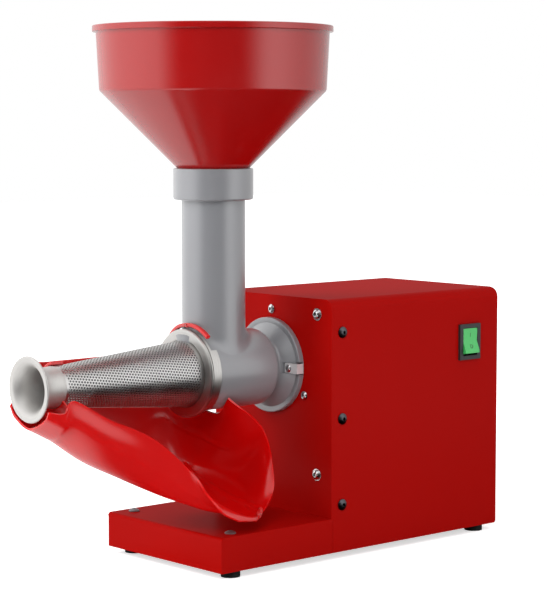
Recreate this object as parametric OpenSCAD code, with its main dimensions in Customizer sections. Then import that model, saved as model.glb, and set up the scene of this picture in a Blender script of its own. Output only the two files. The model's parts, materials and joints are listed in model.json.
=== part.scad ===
// Electric tomato press: a geared motor in a folded steel housing turns an auger
// inside a perforated cone. Juice runs down the chute, skins leave by the trumpet.
// X is to the right seen from the front, the filter points to -Y, Z is up.

/* [Housing] */
// Width of the housing and of the base
body_w = 150; // [144:1:165]
// Length of the folded cover
body_l = 200; // [194:1:230]
// Height of the cover's top above the table
body_top = 219; // [214:1:240]
// Outer radius of the cover's two long bends
bend_r = 9; // [6:0.5:14]
// Thickness of the cover and the base sheet
sheet_t = 1.5; // [1:0.1:2]
// Thickness of the front plate
plate_t = 2; // [1.5:0.1:3]

/* [Base] */
// Length of the base in front of the housing
base_front = 122; // [110:1:140]
// Height of the base pan
base_h = 29; // [24:1:30]
// Height of the feet below the base pan
foot_h = 6; // [5:0.5:7]
// Diameter of a foot
foot_d = 16; // [14:0.5:20]

/* [Press head] */
// Height of the press axis above the table
axis_z = 159; // [157:1:164]
// Outer diameter of the barrel
barrel_d = 65; // [64:0.5:67]
// Inner diameter of the barrel
bore_d = 55; // [53:0.5:56]
// Distance from the housing to the barrel's front end
head_reach = 95; // [94:0.5:100]
// Distance from the housing to the inlet tube's axis
tube_reach = 67; // [66:0.5:68]
// Outer diameter of the inlet tube
tube_d = 53; // [50:0.5:54]
// Wall of the inlet tube
tube_wall = 4; // [3:0.5:5]
// Diameter of the collar on the inlet tube
collar_d = 66.4; // [64:0.2:70]
// Height of the collar
collar_h = 26; // [20:1:32]
// Height of the collar's top above the press axis
collar_rise = 169; // [150:1:190]
// Diameter of the flange at the housing
flange_d = 81.5; // [80:0.5:84]

/* [Funnel] */
// Diameter of the funnel's rim
funnel_d = 199; // [190:1:210]
// Height of the funnel above the collar
funnel_h = 117; // [100:1:140]
// Outer diameter of the funnel's spigot
spigot_d = 60.4; // [58:0.2:61]
// Wall of the funnel
funnel_wall = 2.2; // [1.8:0.1:3]

/* [Filter] */
// Outer diameter of the cone at the ring nut
cone_d = 55; // [54:0.5:55.5]
// Outer diameter of the cone at its small end
cone_tip_d = 32; // [31:0.2:33]
// Length of the perforated cone in front of the ring nut
cone_len = 131; // [120:1:140]
// Thickness of the filter's steel
cone_t = 0.8; // [0.6:0.1:1.2]
// Outer diameter of the trumpet's neck
neck_d = 32.6; // [32.2:0.2:33.4]
// Length of the neck
neck_len = 8; // [6:1:12]
// Length of the flare
flare_len = 16; // [14:1:22]
// Outer diameter of the trumpet's lip
lip_d = 52.6; // [50:0.2:54]
// Diameter of the ring nut's front
ring_d = 73.6; // [73:0.1:74.2]

/* [Tray] */
// Wall of the juice tray
tray_wall = 2.2; // [1.8:0.1:2.6]
// Height of the spout's lip above the base's top
lip_gap = 10; // [8:0.5:14]
// Width of the strap over the ring nut
strap_w = 3.9; // [3.5:0.1:4.2]
// Slant of the strap's far half, in degrees
strap_tilt = 11; // [8:1:12]

/* [Auger] */
// Diameter of the auger's core at its back
core_d = 24; // [22:0.5:26]
// Diameter of the auger's core at its tip
core_tip_d = 15; // [13:0.5:16]
// Pitch of the auger's flight
auger_pitch = 34; // [28:1:40]
// Thickness of the flight
flight_t = 3; // [2.5:0.1:4]
// Running gap between the flight and the bore or the cone
auger_gap = 0.8; // [0.6:0.1:1.2]

/* [Gear train] */
// Module of the first pair, at the motor
fast_module = 1.25; // [1.2:0.01:1.3]
// Module of the second pair, at the output
slow_module = 1.5; // [1.45:0.01:1.55]
// Teeth of the motor pinion
motor_teeth = 12; // [12:1:13]
// Teeth of the gear that the motor pinion drives
layshaft_teeth = 44; // [42:1:45]
// Teeth of the pinion on the layshaft
layshaft_pinion_teeth = 13; // [12:1:14]
// Teeth of the output gear
output_teeth = 42; // [40:1:44]
// Least lean of the first pair from the vertical, in degrees
train_lean = 18; // [12:1:22]
// Outer diameter of the motor's stator
stator_d = 99; // [94:1:99]
// Length of the motor's stator
stator_l = 56; // [50:1:64]
// Diameter of the output shaft
output_d = 20; // [18:1:22]
// Diameter of the rotor's shaft
rotor_shaft_d = 12; // [11:0.5:12]

/* [Switch and fasteners] */
// Distance from the cover's front edge to the switch's axis
switch_y = 163.5; // [150:0.5:170]
// Height of the switch's middle above the table
switch_z = 172.7; // [168:0.1:176]
// Length of the switch's frame
bezel_l = 26; // [24:0.5:28]
// Height of the switch's frame
bezel_h = 31.5; // [30:0.5:33]
// Tilt of the rocker at rest, in degrees
rocker_tilt = 9; // [7:0.5:11]
// Height of the lowest cover screw
side_screw_z = 46; // [44:0.5:50]
// Distance between the cover screws
side_screw_pitch = 72.7; // [68:0.1:74]
// Distance from the plate's sides to its corner screws
corner_screw_inset = 17.2; // [16:0.1:21]
// Number of vent slots in one column
vent_count = 9; // [6:1:10]

/* [Hidden] */
$fn = 96;

// Small named clearances and overlaps
gap = 0.3;
run_gap = 0.05;
eps = 0.01;
seam = 0.25;

// Levels of the base
base_bottom = foot_h;
base_top = foot_h + base_h;
inner_half_w = body_w / 2 - sheet_t - seam;
inner_top = body_top - sheet_t - seam;
base_back = body_l - sheet_t - seam;

// Press head, along Y, where 0 is the cover's front edge
plate_front = -plate_t;
barrel_r = barrel_d / 2;
bore_r = bore_d / 2;
barrel_front = -head_reach;
flange_t = 5;
flange_front = plate_front - flange_t;
barrel_back = flange_front - 16;
neck_back_r = barrel_r - 8;
spigot_r = 24;
spigot_len = 5;
bayonet_r = spigot_r + 8;
tube_y = -tube_reach;
tube_r = tube_d / 2;
tube_bore_r = tube_r - tube_wall;
collar_r = collar_d / 2;
collar_top = axis_z + collar_rise;
socket_depth = collar_h - 8;
socket_r = spigot_d / 2 + gap;
throat_rise = bore_r + 3.5;

// Ring nut
ring_r = ring_d / 2;
filter_flange_t = 1.9;
filter_flange_back = barrel_front - 0.1;
filter_flange_front = filter_flange_back - filter_flange_t;
ring_inner_face = filter_flange_front - 0.15;
ring_web_t = 3.2;
ring_front = ring_inner_face - ring_web_t;
ring_bore_r = barrel_r + 0.5;
skirt_r = ring_r - 0.6;
skirt_back = ring_inner_face + 2.9;
lug_back = ring_inner_face + 8.7;
lug_low = -50;
lug_high = 36;

// Filter and trumpet
cone_r = cone_d / 2;
cone_tip_r = cone_tip_d / 2;
cone_back = ring_front;
cone_front = cone_back - cone_len;
neck_r = neck_d / 2;
neck_front = cone_front - neck_len;
trumpet_front = neck_front - flare_len;
lip_r = lip_d / 2;

// Tray: places along its length and its fall are shares of these two
tray_front = trumpet_front - 1;
tray_back = -46;
tray_len = tray_back - tray_front;
spout_z = base_top + lip_gap;
tray_fall = axis_z - spout_z;
strap_r = ring_r + 1.6;
strap_t = 3;
strap_y = tube_y - tube_r - 0.9 - strap_w;
strap_shift = 3;
strap_near = 52;
strap_top = 86;
strap_end = 96;
strap_far = 190;

// Gear train: the motor hangs as low as the centre distances and the base allow
stator_r = stator_d / 2;
fast_distance = fast_module * (motor_teeth + layshaft_teeth) / 2;
slow_distance = slow_module * (layshaft_pinion_teeth + output_teeth) / 2;
lean_x = fast_distance * sin(train_lean);
train_drop = sqrt(slow_distance * slow_distance - lean_x * lean_x) + fast_distance * cos(train_lean);
motor_z = max(axis_z - train_drop, base_top + stator_r + 1.4);
drop = axis_z - motor_z;
layshaft_drop = (slow_distance * slow_distance - fast_distance * fast_distance + drop * drop) / (2 * drop);
layshaft_z = axis_z - layshaft_drop;
layshaft_x = sqrt(slow_distance * slow_distance - layshaft_drop * layshaft_drop);
layshaft_beta = atan2(layshaft_z - axis_z, layshaft_x);
motor_beta = atan2(motor_z - layshaft_z, -layshaft_x);
pressure_angle = 25;
backlash = 0.22;

// Stations of the gearbox and the motor along Y
mount_t = 5;
mount_edge = 8;
case_front = mount_t;
case_wall = 6;
case_back = 50;
cover_t = 6;
cover_back = case_back + cover_t;
output_gear_y = 14.2;
output_gear_w = 18;
layshaft_gear_y = 35.5;
layshaft_gear_w = 9.5;
bearing_w = 9;
shield_l = 16;
stator_y = cover_back + shield_l;
stator_back = stator_y + stator_l;
shield_back = stator_back + shield_l;
fan_y = shield_back + 5;
fan_w = 13;
output_r = output_d / 2;
rotor_shaft_r = rotor_shaft_d / 2;
shield_r = stator_r + 0.5;
stator_wall = 21.5;
rotor_r = stator_r - stator_wall;
air_gap = 0.6;
layshaft_r = 5;
output_bearing_r = output_r + 11;
layshaft_bearing_r = layshaft_r + 7;
motor_bearing_r = rotor_shaft_r + 10;
case_top = axis_z + 44;
case_bottom = motor_z - 45;
case_mid_z = (case_top + case_bottom) / 2;
case_r = 18;
case_side_t = 6;
case_room = 2.4;
layshaft_tip_r = fast_module * (layshaft_teeth + 2) / 2;
case_half_w = max(48, layshaft_x + layshaft_tip_r + case_room + case_side_t);
case_screw_zs = [motor_z + 52, case_top - 29];
case_screw_l = 12;
output_rear_r = 16;
capacitor_x = -29;
capacitor_rise = 27;
capacitor_z = axis_z + capacitor_rise;
capacitor_stud_r = 4;

// Screw places
corner_screw_x = body_w / 2 - corner_screw_inset;
corner_screw_top = body_top - 13;
corner_screw_low = base_top + 35.5;
gearbox_screw_r = flange_d / 2 + 7;
gearbox_screw_angles = [90, -29, 209];
side_screw_y = 10;
rear_flange_w = 12;
foot_x = body_w / 2 - 11.6;
foot_y_front = -base_front + 19;
foot_y_back = body_l - 16;

// The rocker switch, on the side plate
side_x = body_w / 2;
bezel_t = 2.4;
rocker_l = bezel_l - 8;
rocker_h = bezel_h - 7;
pivot_x = side_x - 2.5;
pivot_r = 1.2;
pivot_half = rocker_l / 2 + 1;

// The model's middle along Y is put on the origin
gland_out = 12;
gland_hex = 22;
panel_back = body_l + sheet_t;
back_end = panel_back + gland_out;
shift_y = -(trumpet_front + back_end) / 2;

// Moves a piece from the working frame to the part's own frame
module place() {
    translate([0, shift_y, 0]) children();
}

// A rod along Y from y0 to y1
module rod(r, y0, y1, x = 0, z = axis_z) {
    translate([x, y0, z]) rotate([-90, 0, 0]) cylinder(r = r, h = y1 - y0);
}

// A sleeve along Y
module sleeve(r_out, r_in, y0, y1, x = 0, z = axis_z) {
    difference() {
        rod(r_out, y0, y1, x, z);
        rod(r_in, y0 - 1, y1 + 1, x, z);
    }
}

// Turns a profile of [radius, y] points about the press axis
module spin(x = 0, z = axis_z) {
    translate([x, 0, z]) rotate([-90, 0, 0]) rotate_extrude() children();
}

// The arched outline of the housing, open below
module arch(w, h, r) {
    translate([-w / 2, 0]) square([w, h - r]);
    translate([-w / 2 + r, 0]) square([w - 2 * r, h]);
    for (side = [-1, 1])
        translate([side * (w / 2 - r), h - r]) circle(r);
}

// The arch as a plate from y0 to y1 that stands at height z0
module arch_plate(w, z0, z1, r, y0, y1) {
    translate([0, y1, z0]) rotate([90, 0, 0]) linear_extrude(y1 - y0) arch(w, z1 - z0, r);
}

// A rectangle with round corners, in the XZ plane, from y0 to y1
module round_block(w, h, r, y0, y1, z) {
    translate([0, y1, z]) rotate([90, 0, 0]) linear_extrude(y1 - y0) union() {
        square([w, h - 2 * r], center = true);
        square([w - 2 * r, h], center = true);
        for (sx = [-1, 1], sz = [-1, 1])
            translate([sx * (w / 2 - r), sz * (h / 2 - r)]) circle(r);
    }
}

// A button-head screw along -Y: the underside of its head is at y
module button_screw(x, y, z, head_r, head_h, shank_r, shank_l, hex) {
    difference() {
        union() {
            translate([x, y, z]) rotate([90, 0, 0]) rotate_extrude() button_profile(head_r, head_h);
            rod(shank_r, y - eps, y + shank_l, x, z);
        }
        translate([x, y - head_h - 1, z]) rotate([-90, 30, 0]) cylinder(d = hex / cos(30), h = head_h, $fn = 6);
    }
}

module button_profile(head_r, head_h) {
    intersection() {
        square([head_r, head_h]);
        union() {
            square([head_r, head_h * 0.35]);
            translate([0, head_h * 0.35]) scale_round(head_r, head_h * 0.65);
        }
    }
}

// The dome of a button head, as an arc through its rim and its top
module scale_round(r, h) {
    dome_r = (r * r + h * h) / (2 * h);
    intersection() {
        translate([0, h - dome_r]) circle(dome_r, $fn = 128);
        square([r, h]);
    }
}

function involute(angle) = tan(angle) * 180 / PI - angle;

// The outline of a spur gear with involute flanks
function gear_points(m, teeth) =
    let (
        pitch_r = m * teeth / 2,
        base_r = pitch_r * cos(pressure_angle),
        tip_r = pitch_r + m,
        root_r = pitch_r - 1.25 * m,
        half = 90 / teeth - backlash / (2 * pitch_r) * 90 / PI,
        edge = half + involute(pressure_angle),
        start_r = max(base_r, root_r),
        flank = [for (i = [0:4])
            let (r = start_r + (tip_r - start_r) * i / 4)
            [r, edge - involute(acos(min(1, base_r / r)))]]
    )
    [for (k = [0:teeth - 1]) let (c = 360 * k / teeth) each concat(
        root_r < base_r ? [[root_r * cos(c - edge), root_r * sin(c - edge)]] : [],
        [for (i = [0:4]) [flank[i][0] * cos(c - flank[i][1]), flank[i][0] * sin(c - flank[i][1])]],
        [for (i = [4:-1:0]) [flank[i][0] * cos(c + flank[i][1]), flank[i][0] * sin(c + flank[i][1])]],
        root_r < base_r ? [[root_r * cos(c + edge), root_r * sin(c + edge)]] : []
    )];

// The turn that puts a gear in mesh with its driver at centre angle beta
function mesh_turn(driver_turn, driver_teeth, teeth, beta) =
    beta + 180 + (beta - driver_turn) * driver_teeth / teeth + 180 / teeth;

layshaft_turn = mesh_turn(0, output_teeth, layshaft_pinion_teeth, layshaft_beta);
motor_turn = mesh_turn(layshaft_turn, layshaft_teeth, motor_teeth, motor_beta);

// A spur gear whose front face is at y, seen from the front
module gear(m, teeth, y, w, x, z, turn) {
    translate([x, y + w, z]) rotate([90, 0, 0]) rotate([0, 0, turn])
        linear_extrude(w) polygon(gear_points(m, teeth));
}

module base_pan() {
    front_r = 3;
    color([0.68, 0.09, 0.13]) place() difference() {
        union() {
            translate([-body_w / 2, -base_front, base_bottom])
                cube([body_w, base_front - seam, base_h]);
            translate([-inner_half_w, -seam - 1, base_bottom])
                cube([2 * inner_half_w, base_back + seam + 1, base_h]);
        }
        translate([-body_w / 2 + sheet_t, -base_front + sheet_t, base_bottom - 1])
            cube([body_w - 2 * sheet_t, base_front - seam - 2 * sheet_t, base_h - sheet_t + 1]);
        translate([-inner_half_w + sheet_t, -seam - 2 * sheet_t, base_bottom - 1])
            cube([2 * inner_half_w - 2 * sheet_t, base_back + seam + sheet_t, base_h - sheet_t + 1]);
        translate([-body_w / 2 - 1, -base_front, base_top])
            rotate([0, 90, 0]) bend_cut(front_r, body_w + 2);
        for (side = [-1, 1])
            translate([side * body_w / 2, -base_front, base_bottom - 1])
                cylinder(r = 0.5, h = base_h - front_r + 1);
        for (x = [-foot_x, foot_x], y = [foot_y_front, foot_y_back])
            translate([x, y, base_bottom]) cylinder(d = 5.4, h = base_h + 1);
    }
}

// Rounds the edge along the axis of a sheet's bend
module bend_cut(r, l) {
    difference() {
        translate([-eps, -eps, 0]) cube([r + eps, r + eps, l]);
        translate([r, r, -1]) cylinder(r = r, h = l + 2);
    }
}

module rubber_feet() {
    color([0.08, 0.08, 0.08]) place()
        for (x = [-foot_x, foot_x], y = [foot_y_front, foot_y_back])
            translate([x, y, 0]) difference() {
                rotate_extrude() difference() {
                    union() {
                        square([foot_d / 2, foot_h + 2]);
                        square([foot_d / 2 - 1, base_top - sheet_t]);
                    }
                    translate([foot_d / 2 - 1, 0]) rotate([0, 0, -45]) square([4, 1.4], center = true);
                }
                translate([0, 0, base_top - sheet_t - 21]) cylinder(d = 5 + 2 * run_gap, h = 22);
            }
}

module foot_screws() {
    color([0.75, 0.45, 0.45]) place()
        for (x = [-foot_x, foot_x], y = [foot_y_front, foot_y_back])
            translate([x, y, base_top]) difference() {
                union() {
                    rotate_extrude() button_profile(4.6, 2.6);
                    translate([0, 0, -sheet_t - 18]) cylinder(d = 5, h = sheet_t + 18 + eps);
                }
                translate([0, 0, 1.2]) cylinder(d = 3 / cos(30), h = 3, $fn = 6);
            }
}

module housing_cover() {
    color([0.6, 0.05, 0.02]) place() difference() {
        union() {
            difference() {
                arch_plate(body_w, base_bottom, body_top, bend_r, 0, body_l);
                arch_plate(body_w - 2 * sheet_t, base_bottom - 1, body_top - sheet_t,
                    bend_r - sheet_t, -1, body_l + 1);
            }
            difference() {
                arch_plate(body_w - 1, base_top + 1, body_top - 0.5, bend_r - 0.5, body_l - sheet_t, body_l);
                arch_plate(body_w - 2 * rear_flange_w, base_top, body_top - rear_flange_w, bend_r,
                    body_l - sheet_t - 1, body_l + 1);
            }
        }
        for (side = [-1, 1], i = [0:2])
            translate([side * body_w / 2, side_screw_y, side_screw_z + i * side_screw_pitch])
                rotate([0, 90, 0]) cylinder(d = 5.6, h = 8, center = true);
        for (p = rear_screw_places())
            rod(2.1, body_l - 4, body_l + 2, p[0], p[1]);
        translate([side_x - 4, switch_y - rocker_l / 2 - 2, switch_z - rocker_h / 2 - 2])
            cube([8, rocker_l + 4, rocker_h + 4]);
    }
}

function rear_screw_places() = [
    for (side = [-1, 1], share = [0, 0.5, 1])
        [side * (body_w / 2 - rear_flange_w / 2 - 0.8), base_top + 16 + share * (body_top - base_top - 34)]
];

module cover_screws() {
    color([0.2, 0.2, 0.22]) place()
        for (side = [-1, 1], i = [0:2])
            translate([side * body_w / 2, side_screw_y, side_screw_z + i * side_screw_pitch])
                rotate([0, 0, side * 90]) button_screw(0, 0, 0, 4.75, 2.7, 2.5, 9, 3);
}

module front_plate() {
    flange_l = 18;
    color([0.66, 0.06, 0.12]) place() difference() {
        union() {
            arch_plate(body_w, base_top + eps, body_top, bend_r, plate_front, 0);
            difference() {
                arch_plate(2 * inner_half_w, base_top + eps, inner_top,
                    bend_r - sheet_t - seam, -eps, flange_l);
                arch_plate(2 * inner_half_w - 2 * sheet_t, base_top - 1, inner_top - sheet_t,
                    bend_r - 2 * sheet_t - seam, -1, flange_l + 1);
            }
        }
        for (side = [-1, 1], i = [0:2])
            translate([side * body_w / 2, side_screw_y, side_screw_z + i * side_screw_pitch])
                rotate([0, 90, 0]) cylinder(r = 2.5 + run_gap, h = 12, center = true);
        for (x = [-corner_screw_x, corner_screw_x], z = [corner_screw_low, corner_screw_top])
            rod(3.2, plate_front - 1, 2, x, z);
        for (a = gearbox_screw_angles)
            rod(2.7, plate_front - 1, 2, gearbox_screw_r * cos(a), axis_z + gearbox_screw_r * sin(a));
        rod(output_bearing_r + 4, plate_front - 1, 2);
    }
}

module plate_screws() {
    color([0.85, 0.85, 0.86]) place()
        for (x = [-corner_screw_x, corner_screw_x], z = [corner_screw_low, corner_screw_top])
            button_screw(x, plate_front - 1, z, 4.1, 3, 3, plate_t + mount_t + 2, 4);
}

module plate_washers() {
    color([0.85, 0.85, 0.86]) place()
        for (x = [-corner_screw_x, corner_screw_x], z = [corner_screw_low, corner_screw_top])
            sleeve(5.2, 3 + run_gap, plate_front - 1, plate_front, x, z);
}

module gearbox_screws() {
    color([0.85, 0.85, 0.86]) place()
        for (a = gearbox_screw_angles)
            button_screw(gearbox_screw_r * cos(a), plate_front, axis_z + gearbox_screw_r * sin(a),
                3.9, 2.6, 2.5, plate_t + mount_t + 4, 3);
}

module mount_plate() {
    color([0.55, 0.56, 0.58]) place() difference() {
        round_block(2 * (corner_screw_x + mount_edge), corner_screw_top - corner_screw_low + 2 * mount_edge, 6, 0, mount_t,
            (corner_screw_top + corner_screw_low) / 2);
        for (x = [-corner_screw_x, corner_screw_x], z = [corner_screw_low, corner_screw_top])
            rod(3 + run_gap, -1, mount_t + 1, x, z);
        for (a = gearbox_screw_angles)
            rod(2.7, -1, mount_t + 1, gearbox_screw_r * cos(a), axis_z + gearbox_screw_r * sin(a));
        rod(output_bearing_r + 4, -1, mount_t + 1);
    }
}

module rear_panel() {
    slot_w = 46;
    slot_h = 4;
    slot_pitch = 9;
    color([0.6, 0.05, 0.02]) place() difference() {
        arch_plate(body_w - 1, base_bottom + 1, body_top - 0.5, bend_r - 0.5, body_l, panel_back);
        for (x = [-31, 31], i = [0:vent_count - 1])
            translate([x, 0, base_top + 60 + i * slot_pitch]) {
                translate([-slot_w / 2, body_l - 1, -slot_h / 2]) cube([slot_w, sheet_t + 2, slot_h]);
                for (side = [-1, 1])
                    rod(slot_h / 2, body_l - 1, panel_back + 1, side * slot_w / 2, 0);
            }
        for (p = rear_screw_places())
            rod(2.3, body_l - 1, panel_back + 1, p[0], p[1]);
        rod(gland_thread_r + gap / 2, body_l - 1, panel_back + 1, gland_x, gland_z);
    }
}

gland_x = 35 - body_w / 2;
gland_z = base_top + 26;
gland_thread_r = 8;

module rear_screws() {
    color([0.2, 0.2, 0.22]) place()
        for (p = rear_screw_places())
            translate([p[0], panel_back, p[1]]) rotate([0, 0, 180])
                button_screw(0, 0, 0, 3.8, 2.2, 2, sheet_t + 5, 2.5);
}

module cable_gland() {
    color([0.1, 0.1, 0.1]) place() difference() {
        union() {
            translate([gland_x, panel_back, gland_z])
                rotate([-90, 0, 0]) cylinder(d = gland_hex / cos(30), h = 4, $fn = 6);
            rod(9.4, panel_back + 4 - eps, back_end, gland_x, gland_z);
            rod(gland_thread_r, body_l - 8, panel_back + eps, gland_x, gland_z);
        }
        rod(3.8, body_l - 9, back_end + 1, gland_x, gland_z);
    }
}

module gland_nut() {
    color([0.1, 0.1, 0.1]) place() difference() {
        translate([gland_x, body_l - 5, gland_z])
            rotate([-90, 0, 0]) cylinder(d = gland_hex / cos(30), h = 5, $fn = 6);
        rod(gland_thread_r + run_gap, body_l - 6, body_l + 1, gland_x, gland_z);
    }
}

module switch_bezel() {
    depth = 20;
    color([0.1, 0.11, 0.1]) place() difference() {
        union() {
            translate([side_x, switch_y - bezel_l / 2, switch_z - bezel_h / 2])
                cube([bezel_t, bezel_l, bezel_h]);
            translate([side_x - depth, switch_y - rocker_l / 2 - 1.8, switch_z - rocker_h / 2 - 1.8])
                cube([depth + eps, rocker_l + 3.6, rocker_h + 3.6]);
        }
        translate([side_x - 7, switch_y - rocker_l / 2, switch_z - rocker_h / 2])
            cube([bezel_t + 8, rocker_l, rocker_h]);
        rod(pivot_r + run_gap, switch_y - pivot_half - 0.2, switch_y + pivot_half + 0.2, pivot_x, switch_z);
    }
}

module switch_rocker() {
    half_h = rocker_h / 2 - 1.25;
    color([0.2, 0.72, 0.3]) place() {
        translate([pivot_x, switch_y + rocker_l / 2 - 0.3, switch_z])
            rotate([90, 0, 0]) rotate([0, 0, rocker_tilt]) linear_extrude(rocker_l - 0.6) {
                translate([-1, -half_h]) square([4.6, 2 * half_h]);
                circle(pivot_r + 1);
                polygon([[3, -half_h], [6.2, -half_h], [6.2, -half_h * 0.72], [4.4, 0],
                    [6.2, half_h * 0.72], [6.2, half_h], [3, half_h]]);
            }
        rod(pivot_r, switch_y - pivot_half, switch_y + pivot_half, pivot_x, switch_z);
    }
}

module gearbox_case() {
    color([0.72, 0.72, 0.72]) place() difference() {
        union() {
            difference() {
                round_block(2 * case_half_w, case_top - case_bottom, case_r, case_front, case_back, case_mid_z);
                round_block(2 * (case_half_w - case_side_t), case_top - case_bottom - 2 * case_side_t,
                    case_r - case_side_t, case_front + case_wall, case_back + 1, case_mid_z);
            }
            rod(output_bearing_r + 3.5, plate_front + 0.5, case_front + case_wall + 1);
            rod(layshaft_bearing_r + 3, case_front, output_gear_y - 0.7, layshaft_x, layshaft_z);
            for (a = gearbox_screw_angles)
                rod(6, case_front, case_front + case_wall,
                    gearbox_screw_r * cos(a), axis_z + gearbox_screw_r * sin(a));
        }
        rod(output_bearing_r + run_gap, case_front + case_wall + 1 - 12, case_front + case_wall + 2);
        rod(output_r + 3, plate_front - 1, case_back);
        rod(layshaft_bearing_r + run_gap, output_gear_y - 0.7 - 7, output_gear_y, layshaft_x, layshaft_z);
        for (a = gearbox_screw_angles)
            rod(2.5 + run_gap, case_front - 1, case_front + case_wall - 1,
                gearbox_screw_r * cos(a), axis_z + gearbox_screw_r * sin(a));
        for (p = case_screw_places())
            rod(2 + run_gap, case_back - 14, case_back + 1, p[0], p[1]);
    }
}

function case_screw_places() = [
    for (side = [-1, 1], z = case_screw_zs) [side * (case_half_w - case_side_t / 2), z]
];

module gearbox_cover() {
    color([0.72, 0.72, 0.72]) place() difference() {
        union() {
            round_block(2 * case_half_w, case_top - case_bottom, case_r, case_back, cover_back, case_mid_z);
            rod(output_rear_r + 3.5, case_back - 2, cover_back + 4);
            rod(layshaft_bearing_r + 3, case_back - 4, case_back + 1, layshaft_x, layshaft_z);
        }
        rod(output_rear_r + run_gap, case_back - 3, case_back - 2 + bearing_w);
        rod(layshaft_bearing_r + run_gap, case_back - 5, case_back - 4 + 7, layshaft_x, layshaft_z);
        rod(rotor_shaft_r + 3, case_back - 1, cover_back + 1, 0, motor_z);
        for (p = case_screw_places())
            rod(2.2, case_back - 1, cover_back + 1, p[0], p[1]);
        for (p = motor_bolt_places())
            rod(2.5 + run_gap, case_back - 1, cover_back + 1, p[0], p[1]);
        rod(capacitor_stud_r + run_gap, cover_back - 5, cover_back + 1, capacitor_x, capacitor_z);
    }
}

module case_screws() {
    color([0.8, 0.8, 0.82]) place()
        for (p = case_screw_places())
            translate([p[0], cover_back, p[1]]) rotate([0, 0, 180])
                button_screw(0, 0, 0, 3, 2.2, 2, cover_t + case_screw_l, 2.5);
}

module output_shaft() {
    socket = 12.2;
    color([0.7, 0.71, 0.73]) place() difference() {
        union() {
            rod(output_r, shaft_front, output_gear_y + output_gear_w + 3);
            rod(output_rear_r - 8, output_gear_y + output_gear_w, case_back - 2.5 + bearing_w);
            rod(output_r + 2.4, case_front + case_wall + 1.3, output_gear_y);
        }
        translate([-socket / 2, shaft_front - 1, axis_z - socket / 2]) cube([socket, socket_l + 1.5, socket]);
    }
}

module output_gear() {
    color([0.5, 0.5, 0.52]) place() difference() {
        gear(slow_module, output_teeth, output_gear_y, output_gear_w, 0, axis_z, 0);
        rod(output_r, output_gear_y - 1, output_gear_y + output_gear_w + 1);
        for (a = [30:60:330])
            rod(4.4, output_gear_y - 1, output_gear_y + output_gear_w + 1,
                20.5 * cos(a), axis_z + 20.5 * sin(a));
    }
}

// A ball bearing: two races and the shield between them, drawn as one turned solid
module bearing(r_out, r_in, y, w, x, z) {
    groove = 0.5;
    race = (r_out - r_in) * 0.26;
    difference() {
        sleeve(r_out, r_in + run_gap, y, y + w, x, z);
        sleeve(r_out - race, r_in + race, y - 1, y + groove, x, z);
        sleeve(r_out - race, r_in + race, y + w - groove, y + w + 1, x, z);
    }
}

module output_bearings() {
    color([0.78, 0.79, 0.8]) place() {
        bearing(output_bearing_r, output_r, case_front + case_wall + 1 - 12, 12, 0, axis_z);
        bearing(output_rear_r, output_rear_r - 8, case_back - 2, bearing_w, 0, axis_z);
    }
}

module layshaft() {
    color([0.6, 0.6, 0.62]) place() union() {
        rod(layshaft_r, output_gear_y - 0.7 - 6.5, case_back + 2.5, layshaft_x, layshaft_z);
        gear(slow_module, layshaft_pinion_teeth, output_gear_y, output_gear_w,
            layshaft_x, layshaft_z, layshaft_turn);
        rod(layshaft_r + 2.4, output_gear_y + output_gear_w, layshaft_gear_y, layshaft_x, layshaft_z);
    }
}

module layshaft_gear() {
    color([0.5, 0.5, 0.52]) place() difference() {
        gear(fast_module, layshaft_teeth, layshaft_gear_y, layshaft_gear_w,
            layshaft_x, layshaft_z, layshaft_turn);
        rod(layshaft_r, layshaft_gear_y - 1, layshaft_gear_y + layshaft_gear_w + 1, layshaft_x, layshaft_z);
        for (a = [0:72:288])
            rod(4.6, layshaft_gear_y - 1, layshaft_gear_y + layshaft_gear_w + 1,
                layshaft_x + 16 * cos(a), layshaft_z + 16 * sin(a));
    }
}

module layshaft_bearings() {
    color([0.78, 0.79, 0.8]) place() {
        bearing(layshaft_bearing_r, layshaft_r, output_gear_y - 0.7 - 7, 6.5, layshaft_x, layshaft_z);
        bearing(layshaft_bearing_r, layshaft_r, case_back - 3.5, 6.5, layshaft_x, layshaft_z);
    }
}

module rotor_shaft() {
    color([0.66, 0.66, 0.68]) place() union() {
        rod(rotor_shaft_r, layshaft_gear_y + layshaft_gear_w, fan_y + fan_w + 2, 0, motor_z);
        gear(fast_module, motor_teeth, layshaft_gear_y - 1, layshaft_gear_w + 2, 0, motor_z, motor_turn);
    }
}

module rotor_core() {
    ring_l = 5;
    color([0.5, 0.5, 0.52]) place() difference() {
        union() {
            rod(rotor_r, stator_y, stator_back, 0, motor_z);
            rod(rotor_r - 2, stator_y - ring_l, stator_back + ring_l, 0, motor_z);
        }
        rod(rotor_shaft_r, stator_y - ring_l - 1, stator_back + ring_l + 1, 0, motor_z);
        sleeve(rotor_r - 9, rotor_shaft_r + 3, stator_y - ring_l - 1, stator_y, 0, motor_z);
        sleeve(rotor_r - 9, rotor_shaft_r + 3, stator_back, stator_back + ring_l + 1, 0, motor_z);
    }
}

module motor_bearings() {
    color([0.78, 0.79, 0.8]) place() {
        bearing(motor_bearing_r, rotor_shaft_r, cover_back + 1, bearing_w, 0, motor_z);
        bearing(motor_bearing_r, rotor_shaft_r, shield_back - 1 - bearing_w, bearing_w, 0, motor_z);
    }
}

module stator_core() {
    slots = 12;
    color([0.45, 0.46, 0.48]) place() difference() {
        rod(stator_r, stator_y, stator_back, 0, motor_z);
        rod(rotor_r + air_gap, stator_y - 1, stator_back + 1, 0, motor_z);
        for (i = [0:slots - 1])
            rod(3.6, stator_y - 1, stator_back + 1,
                (rotor_r + 8) * cos(i * 360 / slots), motor_z + (rotor_r + 8) * sin(i * 360 / slots));
    }
}

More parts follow.
